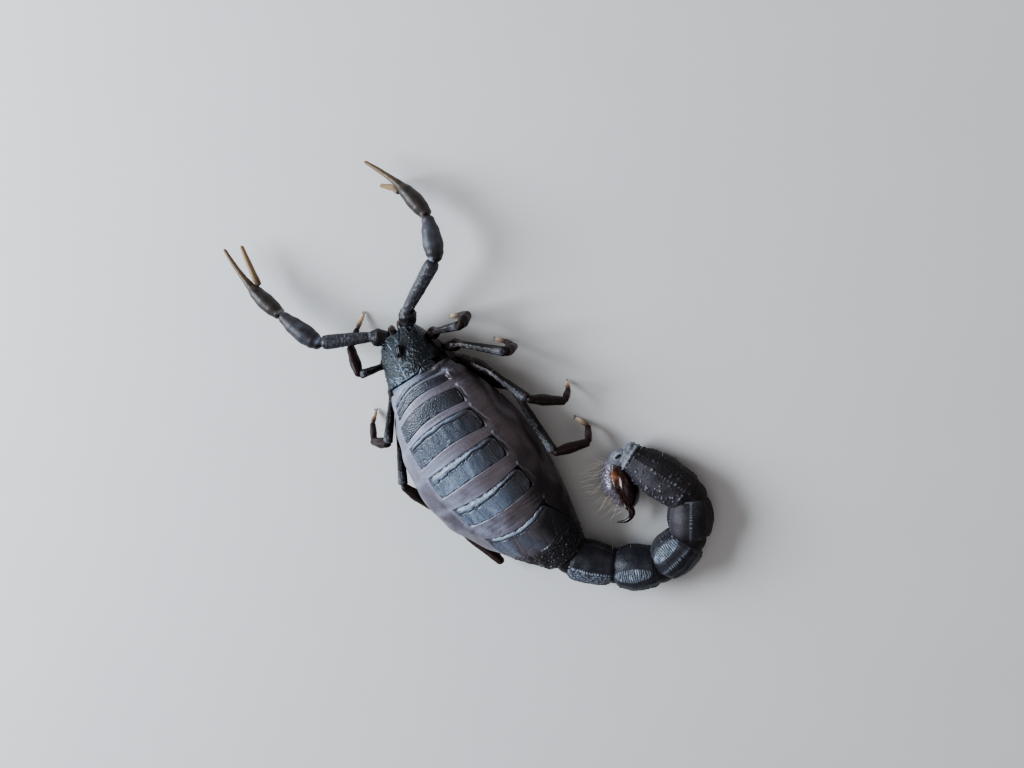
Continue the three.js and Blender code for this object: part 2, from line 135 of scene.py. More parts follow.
CAMERA_PLACE = (85.507, 6.265, 207.724)
CAMERA_TILT = np.radians(20)  # how far the view leans over from straight down
CAMERA_TURN = np.array([0.578, 0.816]) / np.hypot(0.578, 0.816)
camera_back = np.array([np.sin(CAMERA_TILT), 0, np.cos(CAMERA_TILT)])
camera_level = np.array([np.cos(CAMERA_TILT), 0, -np.sin(CAMERA_TILT)])
camera_ahead = np.array([0.0, 1.0, 0.0])
camera_right = CAMERA_TURN[1] * camera_level - CAMERA_TURN[0] * camera_ahead
camera_up = CAMERA_TURN[0] * camera_level + CAMERA_TURN[1] * camera_ahead
camera_pose = np.eye(4)
camera_pose[:3, :3] = np.stack([camera_right, camera_up, camera_back], 1)
camera_pose[:3, 3] = to_frame(CAMERA_PLACE)
camera_data = bpy.data.cameras.new("camera")
camera_data.lens = 50
camera_data.sensor_width = 36
camera_data.clip_start = 0.01
camera = add_object("camera", camera_data)
camera.matrix_world = Matrix(camera_pose.tolist())
bpy.context.scene.camera = camera


# ---- Abdomen -------------------------------------------------------------------------------------
# One soft skin, stretched by the young inside: smooth mauve-grey cuticle with fine creases between
# the back plates, soft dents down the flanks, and five firmer plates under the belly.

BOX_LOW, BOX_HIGH = np.array(cad_box[0]), np.array(cad_box[1])


def ease(low, high, value):
    """A smooth step from 0 at low to 1 at high."""
    part = np.clip((value - low) / (high - low), 0, 1)
    return part * part * (3 - 2 * part)


def bell(value, centre, width):
    """A smooth bump of height 1 around a centre."""
    return np.exp(-(((value - centre) / width) ** 2))


def signed_power(value, exponent):
    """A power of the value's size, with the value's own sign."""
    return np.sign(value) * np.abs(value) ** exponent


def ripple(points, wavelength, seed, waves=18):
    """Soft random relief between about -1 and 1: many plane waves of like length and any direction, added."""
    random = np.random.default_rng(seed)
    heading = random.normal(size=(waves, 3))
    size = np.linalg.norm(heading, axis=1)
    heading *= (2 * np.pi / wavelength * random.uniform(0.7, 1.4, waves) / size)[:, None]
    return np.cos(points @ heading.T + random.uniform(0, 2 * np.pi, waves)).sum(-1) * np.sqrt(1.0 / waves)


def veins(points, wavelength, seed, width=0.2):
    """Thin wandering lines of height 1, where soft random relief passes through its middle."""
    return bell(ripple(points, wavelength, seed), 0, width)


def grains(points, spacing, seed, share=1.0):
    """Round bumps of height 0 to 1: a ball of random size lies somewhere in a share of the cells of a cubic
    lattice, and each point gets the height of the tallest ball over it."""
    cell = np.floor(points / spacing)
    height = np.zeros(points.shape[:-1])
    mix = np.array([[127.1, 269.5, 419.2, 61.7], [311.7, 183.3, 371.9, 97.3], [74.7, 246.1, 124.6, 83.9]])
    for offset in np.ndindex(3, 3, 3):
        corner = cell + offset - 1
        dice = np.sin(corner @ mix + seed) * 43758.5453
        dice -= np.floor(dice)
        reach = spacing * np.where(dice[..., 3] < share, 0.32 + 0.33 * dice[..., 3] / share, 1e-3)
        distance = np.linalg.norm(points - (corner + dice[..., :3]) * spacing, axis=-1)
        height = np.maximum(height, np.sqrt(np.clip(1 - (distance / reach) ** 2, 0, None)))
    return height


def relief(rings, height):
    """The rings with each point moved out from the surface, square to it, by its own height."""
    normal = np.cross(np.gradient(rings, axis=0), np.roll(rings, -1, 1) - np.roll(rings, 1, 1))
    normal /= np.linalg.norm(normal, axis=-1, keepdims=True) + 1e-9
    outward = np.sign((normal * (rings - rings.mean(1, keepdims=True))).sum())
    return rings + outward * normal * height[..., None]


def shell_faces(rings):
    """The points and faces of one closed shell over rings of points (ring, side, xyz): neighbours are
    joined by four-cornered faces and each end by a fan around its middle, all of them facing out."""
    count, sides = rings.shape[:2]
    points = np.concatenate([rings.reshape(-1, 3), rings[:1].mean(1), rings[-1:].mean(1)])
    ring, side = np.meshgrid(np.arange(count - 1), np.arange(sides), indexing="ij")
    here, beside = ring * sides + side, ring * sides + (side + 1) % sides
    walls = np.stack([here, here + sides, beside + sides, beside], -1).reshape(-1, 4)
    around = np.arange(sides)
    last = (count - 1) * sides
    caps = np.concatenate([
        np.stack([np.full(sides, count * sides), around, (around + 1) % sides], -1),
        np.stack([np.full(sides, count * sides + 1), last + (around + 1) % sides, last + around], -1)])
    triangles = points[np.concatenate([walls[:, :3], walls[:, [0, 2, 3]], caps])]
    volume = np.einsum("ij,ij->", triangles[:, 0], np.cross(triangles[:, 1], triangles[:, 2]))
    return (points, walls, caps) if volume > 0 else (points, walls[:, ::-1], caps[:, ::-1])


def piece(name, shells, material, nodes):
    """One piece of the animal from its closed shells, each a pair of rings in millimetres and of tones from
    0 to 1 per point, kept as attributes for the material. It stands for the named CAD nodes."""
    points, corners, sizes, first = [], [], [], 0
    tones = {"pale": [], "warm": [], "shade": [], "gloss": []}
    for rings, values in shells:
        made, walls, caps = shell_faces(rings)
        points.append(made)
        corners += [(walls + first).ravel(), (caps + first).ravel()]
        sizes += [np.full(len(walls), 4), np.full(len(caps), 3)]
        for tone, kept in tones.items():
            value = np.clip(np.broadcast_to(values.get(tone, 0.0), rings.shape[:2]), 0, 1)
            kept.append(np.concatenate([value.ravel(), [value[0].mean(), value[-1].mean()]]))
        first += len(made)
    points, corners, sizes = np.concatenate(points), np.concatenate(corners), np.concatenate(sizes)
    mesh = bpy.data.meshes.new(name)
    mesh.vertices.add(len(points))
    mesh.vertices.foreach_set("co", np.clip(to_frame(points), BOX_LOW, BOX_HIGH).ravel())
    mesh.loops.add(len(corners))
    mesh.loops.foreach_set("vertex_index", corners)
    mesh.polygons.add(len(sizes))
    mesh.polygons.foreach_set("loop_start", np.concatenate([[0], sizes.cumsum()[:-1]]))
    for tone, kept in tones.items():
        mesh.attributes.new(tone, "FLOAT", "POINT").data.foreach_set("value", np.concatenate(kept))
    mesh.update(calc_edges=True)
    mesh.validate()
    mesh.shade_smooth()
    mesh.materials.append(material)
    made = add_object(name, mesh)
    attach(made, "root")
    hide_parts(*nodes)


def horn_material(name, dark, light, pale, rough, warm=(0.1, 0.05, 0.03), deep=(0.010, 0.007, 0.008),
                  coat=0.0, gloss=0.4, grain=0.5, cell=0.22, sub=0.0):
    """Horny shell or skin: dark and light tones mottle it, and the attributes pale, warm and shade bring out
    the tones pale, warm and deep. The attribute pale brings out the thing's own pale marks and also painted
    highlights and sheen. The attribute shade brings out painted shade and also the thing's own dark places.
    Fine noise varies how rough it is, and the attribute gloss smooths it. The number gloss is the strength
    of its reflections, and cell the size of its pits in millimetres."""
    material, output = blank_material(name)
    place = wire(material, "TexCoord").outputs["Object"]
    mottle = wire(material, "TexNoise", {"Vector": place, "Scale": 420.0, "Detail": 5.0, "Roughness": 0.6})
    fine = wire(material, "TexNoise", {"Vector": place, "Scale": 3600.0, "Detail": 3.0, "Roughness": 0.65})
    pits = wire(material, "TexVoronoi", {"Vector": place, "Scale": 1000.0 / cell, "Randomness": 1.0})
    spread = wire(material, "MapRange", {"Value": mottle.outputs["Fac"], "From Min": 0.35, "From Max": 0.65})
    colour = wire(material, "Mix", {0: spread.outputs[0], 6: (*dark, 1), 7: (*light, 1)}, data_type="RGBA")
    broken = wire(material, "MapRange", {"Value": fine.outputs["Fac"], "From Min": 0.3, "From Max": 0.7,
                                         "To Min": 0.65, "To Max": 1.0})
    for tone, shown in (("warm", warm), ("pale", pale), ("shade", deep)):
        amount = wire(material, "Attribute", attribute_name=tone).outputs["Fac"]
        if tone == "pale":
            faded = wire(material, "Math", {0: amount, 1: broken.outputs[0]}, operation="MULTIPLY")
            amount = faded.outputs[0]
        colour = wire(material, "Mix", {0: amount, 6: colour.outputs[2], 7: (*shown, 1)}, data_type="RGBA")
    shine = wire(material, "MapRange", {"Value": fine.outputs["Fac"], "From Min": 0.3, "From Max": 0.7,
                                        "To Min": rough - 0.08, "To Max": rough + 0.10})
    polish = wire(material, "Attribute", attribute_name="gloss").outputs["Fac"]
    shine = wire(material, "Math", {0: polish, 1: -0.25, 2: shine.outputs[0]}, operation="MULTIPLY_ADD")
    height = wire(material, "Math", {0: pits.outputs["Distance"], 1: fine.outputs["Fac"]}, operation="ADD")
    bump = wire(material, "Bump", {"Strength": grain, "Distance": 0.00006, "Height": height.outputs[0]})
    surface = wire(material, "BsdfPrincipled", {
        "Base Color": colour.outputs[2], "Roughness": shine.outputs[0], "Normal": bump.outputs["Normal"],
        "Coat Weight": coat, "Coat Roughness": 0.15, "Specular IOR Level": gloss,
        "Subsurface Weight": sub, "Subsurface Radius": (0.9, 0.5, 0.4), "Subsurface Scale": 0.0006})
    material.node_tree.links.new(surface.outputs["BSDF"], output.inputs["Surface"])
    return material


FRONT, WIDEST, REAR = 15.3, -1.0, -20.9
HALF_WIDTH = (5.3, 10.5, 3.2)  # at the front end, the widest place and the rear end, like the sizes below
MIDLINE = (1.05, 0.0, 3.05)
GIRTH = (7.3, 6.2, 4.9)
RISE = (4.0, 6.3, 3.3)
DROP = (2.3, 6.8, 3.3)
SQUARENESS = 2.3
PLATES = [  # front edge and length of each back plate along the midline
    (15.2, 0.7), (14.2, 1.4), (11.6, 2.6), (7.9, 3.8), (2.0, 3.9), (-4.7, 3.8), (-12.0, 8.3)]
BELLY_SEAMS = (7.0, 1.5, -4.5, -10.5, -16.0)
BREATHING_SLITS = (4.2, -1.5, -7.5, -13.2)


def fullness(y):
    """How full the abdomen is along its length: 1 at its widest place, 0 at both ends."""
    reach = (y - WIDEST) / (np.where(y > WIDEST, FRONT, REAR) - WIDEST)
    return np.clip(1 - reach * reach, 0, None) ** np.where(y > WIDEST, 1, 1.15)


def size_at(sizes, y):
    """One of the abdomen's sizes along its length, by its fullness there."""
    end = np.where(y > WIDEST, sizes[0], sizes[2])
    return end + (sizes[1] - end) * fullness(y)


def abdomen_surface(y, lateral, above, inset):
    """A point of the abdomen's squared oval section, inset from its outside. lateral is -1 at the left flank
    and 1 at the right one, and above tells the back from the belly."""
    height = (1 - np.clip(np.abs(lateral), 0, 1) ** SQUARENESS) ** (1 / SQUARENESS)
    girth = size_at(GIRTH, y)
    back = girth + (size_at(RISE, y) - inset) * height
    belly = girth - (size_at(DROP, y) - inset) * height
    x = size_at(MIDLINE, y) + (size_at(HALF_WIDTH, y) - inset) * lateral
    return np.stack([x, y + 0 * lateral, np.where(above, back, belly)], -1)


def plate_cover(y):
    """Half the width of a back plate as a share of the abdomen's, and how far it leans to the right."""
    full = fullness(y)
    shift = 0.5 * full + 0.35 * bell(y, -6.5, 4.0) - 0.35 * bell(y, 8.0, 3.5)
    return 0.86 - 0.24 * full + 0.17 * ease(-11.0, -15.5, y), shift / size_at(HALF_WIDTH, y)


def plate_bend(front, across):
    """How much further back a back plate's edges lie at a place across it than in its middle: by the square
    of that place, and less on the right of the front plates."""
    straighter = 1 - 0.07 * max(0.0, front - 7.9) * (across > 0)
    return 0.11 * (front - 1) * straighter * across ** 2


skin_rows, skin_top, skin_under = 330, 200, 60
skin_front, skin_rear = 15.2, REAR + 0.05
skin_y = (skin_front + (skin_rear - skin_front) * np.linspace(0, 1, skin_rows))[:, None]
skin_angle = np.concatenate([np.linspace(0, np.pi, skin_top, endpoint=False),
                             np.linspace(np.pi, 2 * np.pi, skin_under, endpoint=False)])[None, :]
skin_lateral = signed_power(np.cos(skin_angle), 2 / SQUARENESS) + 0 * skin_y
skin_above = (skin_angle < np.pi) & np.ones_like(skin_y, bool)
skin = abdomen_surface(skin_y, skin_lateral, skin_above, 0.14)
cover, lean = plate_cover(skin_y)
skin_across = (skin_lateral - lean) / cover
bed, lip, tick, gap, painted_fold_highlight = np.zeros((5, *skin.shape[:2]))
for front, length in PLATES:
    behind = front - plate_bend(front, np.clip(skin_across, -1.2, 1.2)) - skin_y
    sideways = (1 - np.abs(skin_across)) * cover * size_at(HALF_WIDTH, skin_y)
    margin = np.minimum(np.minimum(behind, length - behind), sideways)
    bed = np.maximum(bed, ease(-0.05, 0.3, margin) * skin_above)
    lip = np.maximum(lip, bell(margin, -0.13, 0.08) * ease(length * 0.9, length * 0.6, behind))
    corner = (skin_across > 0) * (skin_y > -11) * (length > 1)
    wavy = -0.16 - 0.18 * behind + 0.08 * ripple(skin * (0, 1, 0), 1.2, 17)
    line = bell(sideways, wavy, 0.055) * ease(-0.6, -0.3, behind) * ease(0.95 * length, 0.4 * length, behind)
    knob = bell(behind, -0.25, 0.24) * bell(sideways, -0.12 + 0.3 * behind, 0.12)
    tick = np.maximum(tick, np.maximum(0.6 * line * (length > 2), 0.9 * knob) * corner)
    gap = np.maximum(gap, ease(wavy - 0.12, wavy + 0.06, sideways) * ease(0, 0.5, behind)
                     * ease(length, 0.6 * length, behind) * corner)
    # Painted highlight: the skin at the front folds of the fourth to sixth plates is painted paler on the lit
    # left.
    painted_fold_highlight = np.maximum(painted_fold_highlight, bell(behind, -0.1, 0.55) * ease(0.3, -0.5, skin_across) * (-6 < front < 9))
back_side = ease(0.1, 0.5, skin_above * np.sin(skin_angle))
open_skin = (1 - bed) * back_side
flank = ease(0.98, 1.15, np.abs(skin_across)) * skin_above
rear = ease(-14.5, -17.5, skin_y)
folds = ripple(skin * (0.12, 1, 0.12), 0.7, 3, 30)
lines = veins(skin * (0.10, 1, 0.10), 1.1, 4, 0.16) * ease(-4, -10, skin_y + 6 * ripple(skin, 9.0, 14))
creases = veins(skin * (1, 0.45, 1), 1.6, 5, 0.14) * ease(0.0, 0.9, ripple(skin, 5.0, 6))
seams = sum(bell(skin_y + 0.8 * skin_lateral ** 2, y, 0.16) for y in BELLY_SEAMS) * ~skin_above
slits = sum(bell(skin_y, y, 0.14) * bell(np.abs(skin_lateral), 0.42, 0.07) for y in BREATHING_SLITS)
lumps = grains(skin, 0.45, 7) * rear * (1 - bed)
pouches = sum(size * bell(skin_y, y, reach) * bell(skin_lateral, 0.86, 0.14) for y, reach, size in (
    (14.7, 0.62, 0.70), (12.7, 1.0, 0.90), (10.4, 1.0, 0.40))) * skin_above
lobe = bell(skin_y, 14.72, 0.36) * ease(0.70, 0.76, skin_lateral) * ease(1.0, 0.93, skin_lateral) * skin_above
beads = grains(skin, 0.30, 8) * lobe
skin_height = (pouches + 0.10 * beads - 0.42 * bed + (0.012 * folds - 0.04 * lines) * open_skin * (1 - flank)
               + 0.02 * lip + 0.16 * tick - 0.04 * creases * (1 - bed) + 0.14 * ripple(skin, 5.0, 8) * flank
               - 0.12 * seams - 0.10 * gap - 0.15 * slits * ~skin_above + 0.16 * lumps
               - 0.5 * ease(-19.9, -20.9, skin_y) ** 2)
skin = relief(skin, skin_height)
over_hips = ease(8.6, 9.8, skin_y) * (5.05 - 0.35 * ease(9, 15, skin_y))
lowest = np.minimum(over_hips, size_at(GIRTH, skin_y))
skin[..., 2] = np.where(skin_above, skin[..., 2], np.maximum(skin[..., 2], lowest))
right_side = ease(-0.1, 0.9, skin_lateral)
ahead = ease(1, 8, skin_y)
darkening = ease(3, -9, skin_y)
right_rim = bell(skin_lateral, 0.97, 0.05) * ease(4, 1, skin_y) * ease(-11, -7, skin_y) * skin_above
left_side = ease(0.2, -0.7, skin_across)
blotches = 0.5 + 0.5 * ripple(skin * (1, 1.6, 1), 2.6, 15)
# Painted sheen: besides a faint pale tone of its own, the skin of the back is painted paler and bluer on its
# lit left, as the window's reflection. The pale lines round the plates are real, but painted only on that
# side.
sheen = 0.56 * left_side * (1 - 0.55 * ease(3, -5, skin_y) * blotches - 0.35 * ahead) + 0.07 + 0.04 * folds
sheen = (sheen + 0.18 * ahead * (1 - 0.7 * right_side)) * back_side * (1 - 0.5 * flank * (1 - ahead))
skin_tones = {
    "pale": (sheen + 0.14 * lip * ease(0.6, -0.4, skin_across) + 0.8 * tick
             + 0.25 * bell(skin_y, 13.9, 0.8) * right_side * (1 - lobe) + 0.4 * painted_fold_highlight + 0.3 * beads ** 2),
    "warm": 0.20 + 0.70 * right_side * (1 - 0.2 * ahead) + 0.20 * ripple(skin, 6.0, 9)
            + 0.35 * flank * (skin_lateral < 0) + 0.5 * ease(1, -9, skin_y) * blotches
            + 0.45 * ease(-0.1, 0.8, skin_across) * back_side,
    # Painted shade: the right flank, turned from the light, darkens towards the rear, and so do the belly and
    # the grooves beside the plates' right ends. The rear end's dark is partly painted shade and partly its
    # own colour, and the lobe at the front is its own dark colour.
    "shade": ease(0.85 - 0.35 * darkening, 1.3 - 0.3 * darkening, skin_across) * (0.85 * ease(4, -7, skin_y))
             * skin_above * (1 - 0.8 * right_rim) + rear + 0.5 * ~skin_above - 0.9 * tick
             + 0.12 * ripple(skin, 4.0, 10) * flank + 0.8 * gap * (1 - tick) + 0.85 * lobe * (1 - 0.5 * beads)
             + 0.35 * ease(-2, -11, skin_y) * ease(-0.3, 0.6, skin_across) * back_side}
membrane = horn_material(
    "stretched_skin", (0.105, 0.088, 0.110), (0.150, 0.128, 0.155), (0.30, 0.32, 0.42), 0.36,
    warm=(0.066, 0.046, 0.048), deep=(0.014, 0.009, 0.011), coat=0.10, gloss=0.45, grain=0.20, cell=0.35,
    sub=0.10)
piece("abdomen_skin", [(skin, skin_tones)], membrane, ["abdomen"])


# ---- Back plates ---------------------------------------------------------------------------------
# Seven horny plates (tergites) lie in the skin of the back. Behind the narrow first one, each has a
# smooth rolled fold along its front edge, a groove behind it, raised side rims, and a finely granular
# field, which is wrinkled from the fourth plate on.

back_plate = horn_material(
    "plate_shell", (0.015, 0.018, 0.027), (0.030, 0.036, 0.052), (0.30, 0.36, 0.48), 0.34,
    warm=(0.078, 0.057, 0.062), deep=(0.006, 0.0055, 0.008), coat=0.10, gloss=0.45, grain=0.45, cell=0.16)
PLATE_FOLDS = [  # the fold's place behind the front edge, width and height, the groove's place and depth
    (0.10, 0.10, 0.00, 0.00, 0.00), (0.10, 0.12, 0.07, 0.26, 0.03), (0.08, 0.09, 0.05, 0.20, 0.03),
    (0.36, 0.26, 0.14, 0.82, 0.10), (0.76, 0.54, 0.20, 1.36, 0.12), (0.70, 0.50, 0.22, 1.30, 0.13),
    (0.44, 0.30, 0.16, 0.84, 0.12)]
PLATE_COLUMNS = 230
CARAPACE_REAR = ((-4.4, -2.0, 0.0, 2.7, 3.2, 4.1, 5.4), (16.1, 16.04, 15.86, 15.72, 16.15, 16.48, 16.3))


def plate_grid(count, under):
    """The grid of a horny plate, with a ring over the top and back underneath in each column from its right
    end to its left: each column's place across it, from 1 to -1, each point's place rearward, from 0 to 1,
    and whether it is on top."""
    across = np.sin(np.pi * (0.5 - np.linspace(0, 1, PLATE_COLUMNS)))[:, None]
    rearward = np.concatenate([np.linspace(0, 1, count), np.linspace(1, 0, under)])[None, :]
    top = np.concatenate([np.ones(count), np.zeros(under)])[None, :] + 0 * across
    return across, rearward, top


def plate_rings(front, length, count, shield=None):
    """A plate in its bed: cross-sections from its right end to its left, each a ring over the top from the
    front to the rear and back underneath, with quarter-round edges. With a shield's rear edge given, it
    reaches ahead to a little under that. Also every point's distance behind the front edge and ahead of the
    rear one, its place across, whether it is on top, and how far it is in from the edge."""
    across, rearward, top = plate_grid(count, 14)
    squeeze = np.sqrt(np.clip(1 - np.abs(across) ** 16, 0, 1))
    along = 0.5 + (rearward - 0.5) * squeeze
    edge_line = np.stack([9 * across, 0 * across + length, 0 * across], -1)
    ragged = 0.07 * ripple(edge_line, 1.6, int(9 + 3 * length))
    extra = 0.0
    if shield:
        extra = np.interp(1.05 + 4.6 * across, *shield) + 0.25 - front + plate_bend(front, across)
    behind = along * (length + extra) - extra + ragged * (2 * along - 1)
    y = front - behind - plate_bend(front, across)
    cover, lean = plate_cover(y)
    sideways = (1 - np.abs(across)) * cover * size_at(HALF_WIDTH, y)
    endways = np.minimum(rearward, 1 - rearward) * length * squeeze
    edge = np.clip(np.minimum(endways, sideways * 1.2) / 0.3, 0, 1)
    inset = np.where(top > 0.5, 0.27 - 0.11 * np.sqrt(1 - (1 - edge) ** 2), 0.62)
    rings = abdomen_surface(y, cover * across + lean, True, inset)
    return rings, behind, length - behind, across + 0 * y, top, edge


for number, ((front, length), folds_here) in enumerate(zip(PLATES, PLATE_FOLDS), 1):
    fold_at, fold_width, fold_height, groove_at, groove_depth = folds_here
    shield = CARAPACE_REAR if number == 1 else None
    rings, behind, ahead, across, top, edge = plate_rings(front, length, int(30 + 14 * length), shield)
    on_top = top * ease(0.1, 0.9, edge)
    soft, last, torn = float(number > 3), float(number == 7), float(number in (5, 6))
    taper = 1 - 0.65 * torn * ease(-0.45, 0.55, across)
    nearer = 0.3 + 0.7 * taper
    jagged = 0.30 * torn * ripple(rings * (1, 0, 0), 0.7, 120 + number)
    wander = 0.14 * ripple(rings * (1, 0, 0), 3.0, 20 + number)
    fold = bell(behind, fold_at * nearer * (1 + wander), fold_width * taper * (1 + wander + 0.5 * jagged))
    fold = fold * ease(1.0, 0.80, np.abs(across))
    groove_width = 0.09 + 0.05 * np.clip(jagged, 0, 1)
    groove = bell(behind, groove_at * nearer + wander + 0.3 * jagged, groove_width)
    groove = groove * ease(0.98, 0.80, np.abs(across)) * (groove_depth > 0)
    rim = bell(np.abs(across), 0.965, 0.014) * ease(0.1, 0.5, behind)
    field = ease(groove_at * nearer, groove_at * nearer + 0.3, behind) * (number > 1)
    speckle = grains(rings, 0.24, number) * field
    dents = ripple(rings * (1, 0.3, 0.3), 1.7, 30 + number) * field * soft
    wrinkles = veins(rings * (1, 0.35, 0.3), 1.3, 35 + number, 0.18) * field * soft
    patches = ease(-0.2, 0.7, ripple(rings * (1, 0.6, 0.3), 3.2, 95 + number))
    rear_rim = bell(ahead, 0.14, 0.08) * (number > 1)
    lifted = (fold_height * fold - groove_depth * groove + 0.06 * rim + (0.022 - 0.010 * soft) * speckle
              + 0.06 * dents - 0.04 * wrinkles
              + 0.04 * rear_rim * (0.6 + 0.4 * grains(rings, 0.28, 60 + number)))
    # Painted light: the folds are pale of their own, and they, the side rims and the speckles are painted
    # paler towards the lit left. The sheen patches are painted reflections, and the right ends and the
    # grooves are darkened as painted shade, the right ends partly by the plates' own dark colour.
    sheen = 0.02 + (0.22 - 0.12 * last) * soft + 0.24 * torn * (0.7 + patches)
    sheen = (sheen + 0.14 * (number == 6) * bell(across, 0.05, 0.3)) * ease(0.65, -0.20, across) * field
    streaked = 1.0 + 0.30 * ripple(rings * (0.6, 1.5, 1), 0.9, 130 + number)
    pale = (streaked * fold * ease(0.9, -0.1, across) + 0.4 * rim * ease(0.3, -0.3, across)
            + (0.30 - 0.15 * soft) * ease(0.5, -0.5, across) * speckle ** 6 + 0.15 * rear_rim
            + sheen * (1 - 0.35 * wrinkles))
    shade = 0.80 * ease(0.30, 1.0, across) * field * (1 - 0.5 * patches) + 0.7 * groove
    warm = 0.25 * ease(0.3, 1.0, across) + 0.3 * (1 - field) * (1 - fold)
    if number == 1:
        # Painted shade where the first plate slips under the carapace. Its lilac band is painted paler
        # towards the lit left, and the lobe is its own dark colour.
        under_shield = ease(-0.20, 0.12, rings[..., 1] - np.interp(rings[..., 0], *CARAPACE_REAR))
        rings[..., 2] -= 0.60 * under_shield + 0.05
        lobe = ease(0.32, 0.50, across) * ease(-0.15, -0.45, behind)
        beads = grains(rings, 0.30, 8) * lobe
        lifted += 0.10 * lobe + 0.08 * beads
        pale = (0.75 * ease(0.9, -0.3, across) + 0.05) * (1 - lobe) + 0.35 * beads ** 2
        shade = 0.8 * lobe * (1 - 0.5 * beads) + 0.5 * under_shield
        warm = 0.45 * (1 - lobe)
    if number == 7:
        keel = bell(behind, 5.0, 0.14) * bell(across, 0.1, 0.22)
        rows = sum(bell(across, place, 0.035) for place in (-0.62, -0.28, 0.28, 0.62))
        rows = rows * ease(3.4, 5.0, behind)
        coarse = grains(rings, 0.42, 77) * ease(4.2, 5.6, behind)
        lifted += 0.12 * keel + 0.12 * rows * (0.5 + coarse) + 0.12 * coarse
        pale = pale * ease(5.5, 4.0, behind) + 0.25 * keel + 0.06 * coarse ** 2 * ease(0.5, -0.5, across)
        # The right side and the rear are darkened, partly the plate's own black and partly painted shade. The
        # pale patches on the left are a painted sheen.
        shade = (shade * (1 - keel) + ease(0.0, 0.6, across) * ease(0.8, 2.0, behind)
                 + 0.7 * ease(4.5, 6.0, behind))
        pale = pale + 0.20 * patches * ease(0.1, -0.5, across) * field * ease(5.5, 4.0, behind)
        warm = warm + (0.35 + 0.5 * (1 - patches)) * field
    tones = {"pale": pale * on_top, "shade": shade, "warm": warm * on_top}
    piece(f"back_plate_{number}", [(relief(rings, lifted * on_top), tones)], back_plate,
          [f"tergite_{number}"])


# ---- Carapace and eyes ---------------------------------------------------------------------------
# The shield over the head is one horny dome with a notched front edge, thickly set with fine grains.
# Two black, lens-like eyes stand on a polished mound in its middle, and small ones at its front corners.

carapace_shell = horn_material(
    "carapace_shell", (0.006, 0.008, 0.011), (0.013, 0.0175, 0.024), (0.26, 0.34, 0.46), 0.42,
    warm=(0.03, 0.018, 0.014), deep=(0.004, 0.004, 0.005), coat=0.05, gloss=0.35, grain=0.4, cell=0.16)
CARAPACE_FRONT = 23.4
EYE_X, EYE_Y, EYE_SLANT = 1.28, 19.8, 0.32


def nose_width(forward):
    """The share of its width that the head keeps at a place along it, from 0 at its rear to 1 at its front:
    all of it over the rear part, then less, by the fourth power of the way along the front part."""
    return 1 - 0.3 * np.clip(1 - (1 - forward) / 0.625, 0, 1) ** 4


def carapace_surface(y, across, lowered):
    """The carapace's dome over its rim, lowered by an inset: it narrows and sinks towards the front."""
    forward = (y - 15.6) / 7.8
    nose = nose_width(forward)
    rim = 7.0 - 1.4 * forward
    crown = (11.3 - 4.6 * forward) * np.sqrt(nose) - rim
    height = np.clip(1 - np.abs(across) ** 2.5, 0, 1) ** 0.425
    x = 0.6 + 0.7 * forward + (4.95 - 1.35 * forward) * nose * across
    return np.stack([x, y + 0 * across, rim + crown * height - lowered], -1)


across, rearward, top = plate_grid(190, 16)
front_edge = CARAPACE_FRONT - 0.55 * bell(across, 0.0, 0.20) - 1.5 * np.abs(across) ** 5
rear_edge = np.interp(0.6 + 4.9 * across, *CARAPACE_REAR)
along_edge = np.concatenate([across, 0 * across, 0 * across], -1)[:, None] * 5
rear_edge = rear_edge + 0.06 * ripple(along_edge, 1.1, 19) + 0.03 * ripple(along_edge, 0.3, 20)
y = front_edge + (rear_edge - front_edge) * rearward
edge = np.clip(np.minimum(rearward * 7.3, (1 - np.abs(across)) * 5) / 0.35, 0, 1)
blunt_edge = np.clip((1 - rearward) * 7.3 / 0.18, 0, 1)
depth = 0.75 * (1 - np.sqrt(1 - (1 - edge) ** 2)) + 0.30 * (1 - np.sqrt(1 - (1 - blunt_edge) ** 2))
depth = np.where(top > 0.5, np.minimum(depth, 0.8), 0.9)
rings = carapace_surface(y, across * (0.985 + 0.015 * edge), depth)
edge = np.minimum(edge, blunt_edge)
x, y = rings[..., 0], rings[..., 1]
slant = EYE_X + EYE_SLANT * (y - EYE_Y)
mound = bell(x, slant, 0.70) * bell(y, EYE_Y, 1.25)
bare = np.clip(1.6 * bell(x, slant, 0.80) * bell(y, EYE_Y, 1.45), 0, 1)
furrow = bell(x, slant, 0.14) * ease(21.1, 21.6, y)


def stroke(start, end, width):
    """A streak of height 1 on the carapace along the straight line from start to end."""
    start, reach = np.array(start), np.array(end) - start
    part = np.clip(((x - start[0]) * reach[0] + (y - start[1]) * reach[1]) / (reach @ reach), 0, 1)
    return bell(np.hypot(x - start[0] - part * reach[0], y - start[1] - part * reach[1]), 0, width)


fork = [stroke((0.62, 16.3), (0.44, 18.5), 0.14), stroke((0.44, 18.45), (0.08, 19.9), 0.12),
        stroke((0.44, 18.45), (1.2, 18.5), 0.11), stroke((0.72, 18.05), (1.65, 18.1), 0.10)]
dashes = [stroke(start, end, 0.09) for start, end in (
    ((-0.41, 18.57), (-0.03, 18.31)), ((-0.51, 18.15), (0.05, 17.65)), ((1.17, 17.29), (1.47, 17.11)),
    ((-1.15, 17.12), (-0.05, 16.65)), ((-1.35, 16.75), (-0.6, 16.6)), ((-1.4, 16.35), (-0.2, 16.3)),
    ((-1.3, 16.02), (-0.3, 15.98)), ((1.19, 22.0), (1.67, 21.2)), ((2.42, 19.6), (2.58, 19.0)),
    ((-0.38, 22.2), (0.0, 21.2)), ((1.5, 16.2), (2.1, 16.1)), ((-2.2, 17.6), (-1.9, 16.9)))]
strokes = np.clip(sum(fork) + sum(dashes), 0, 1)
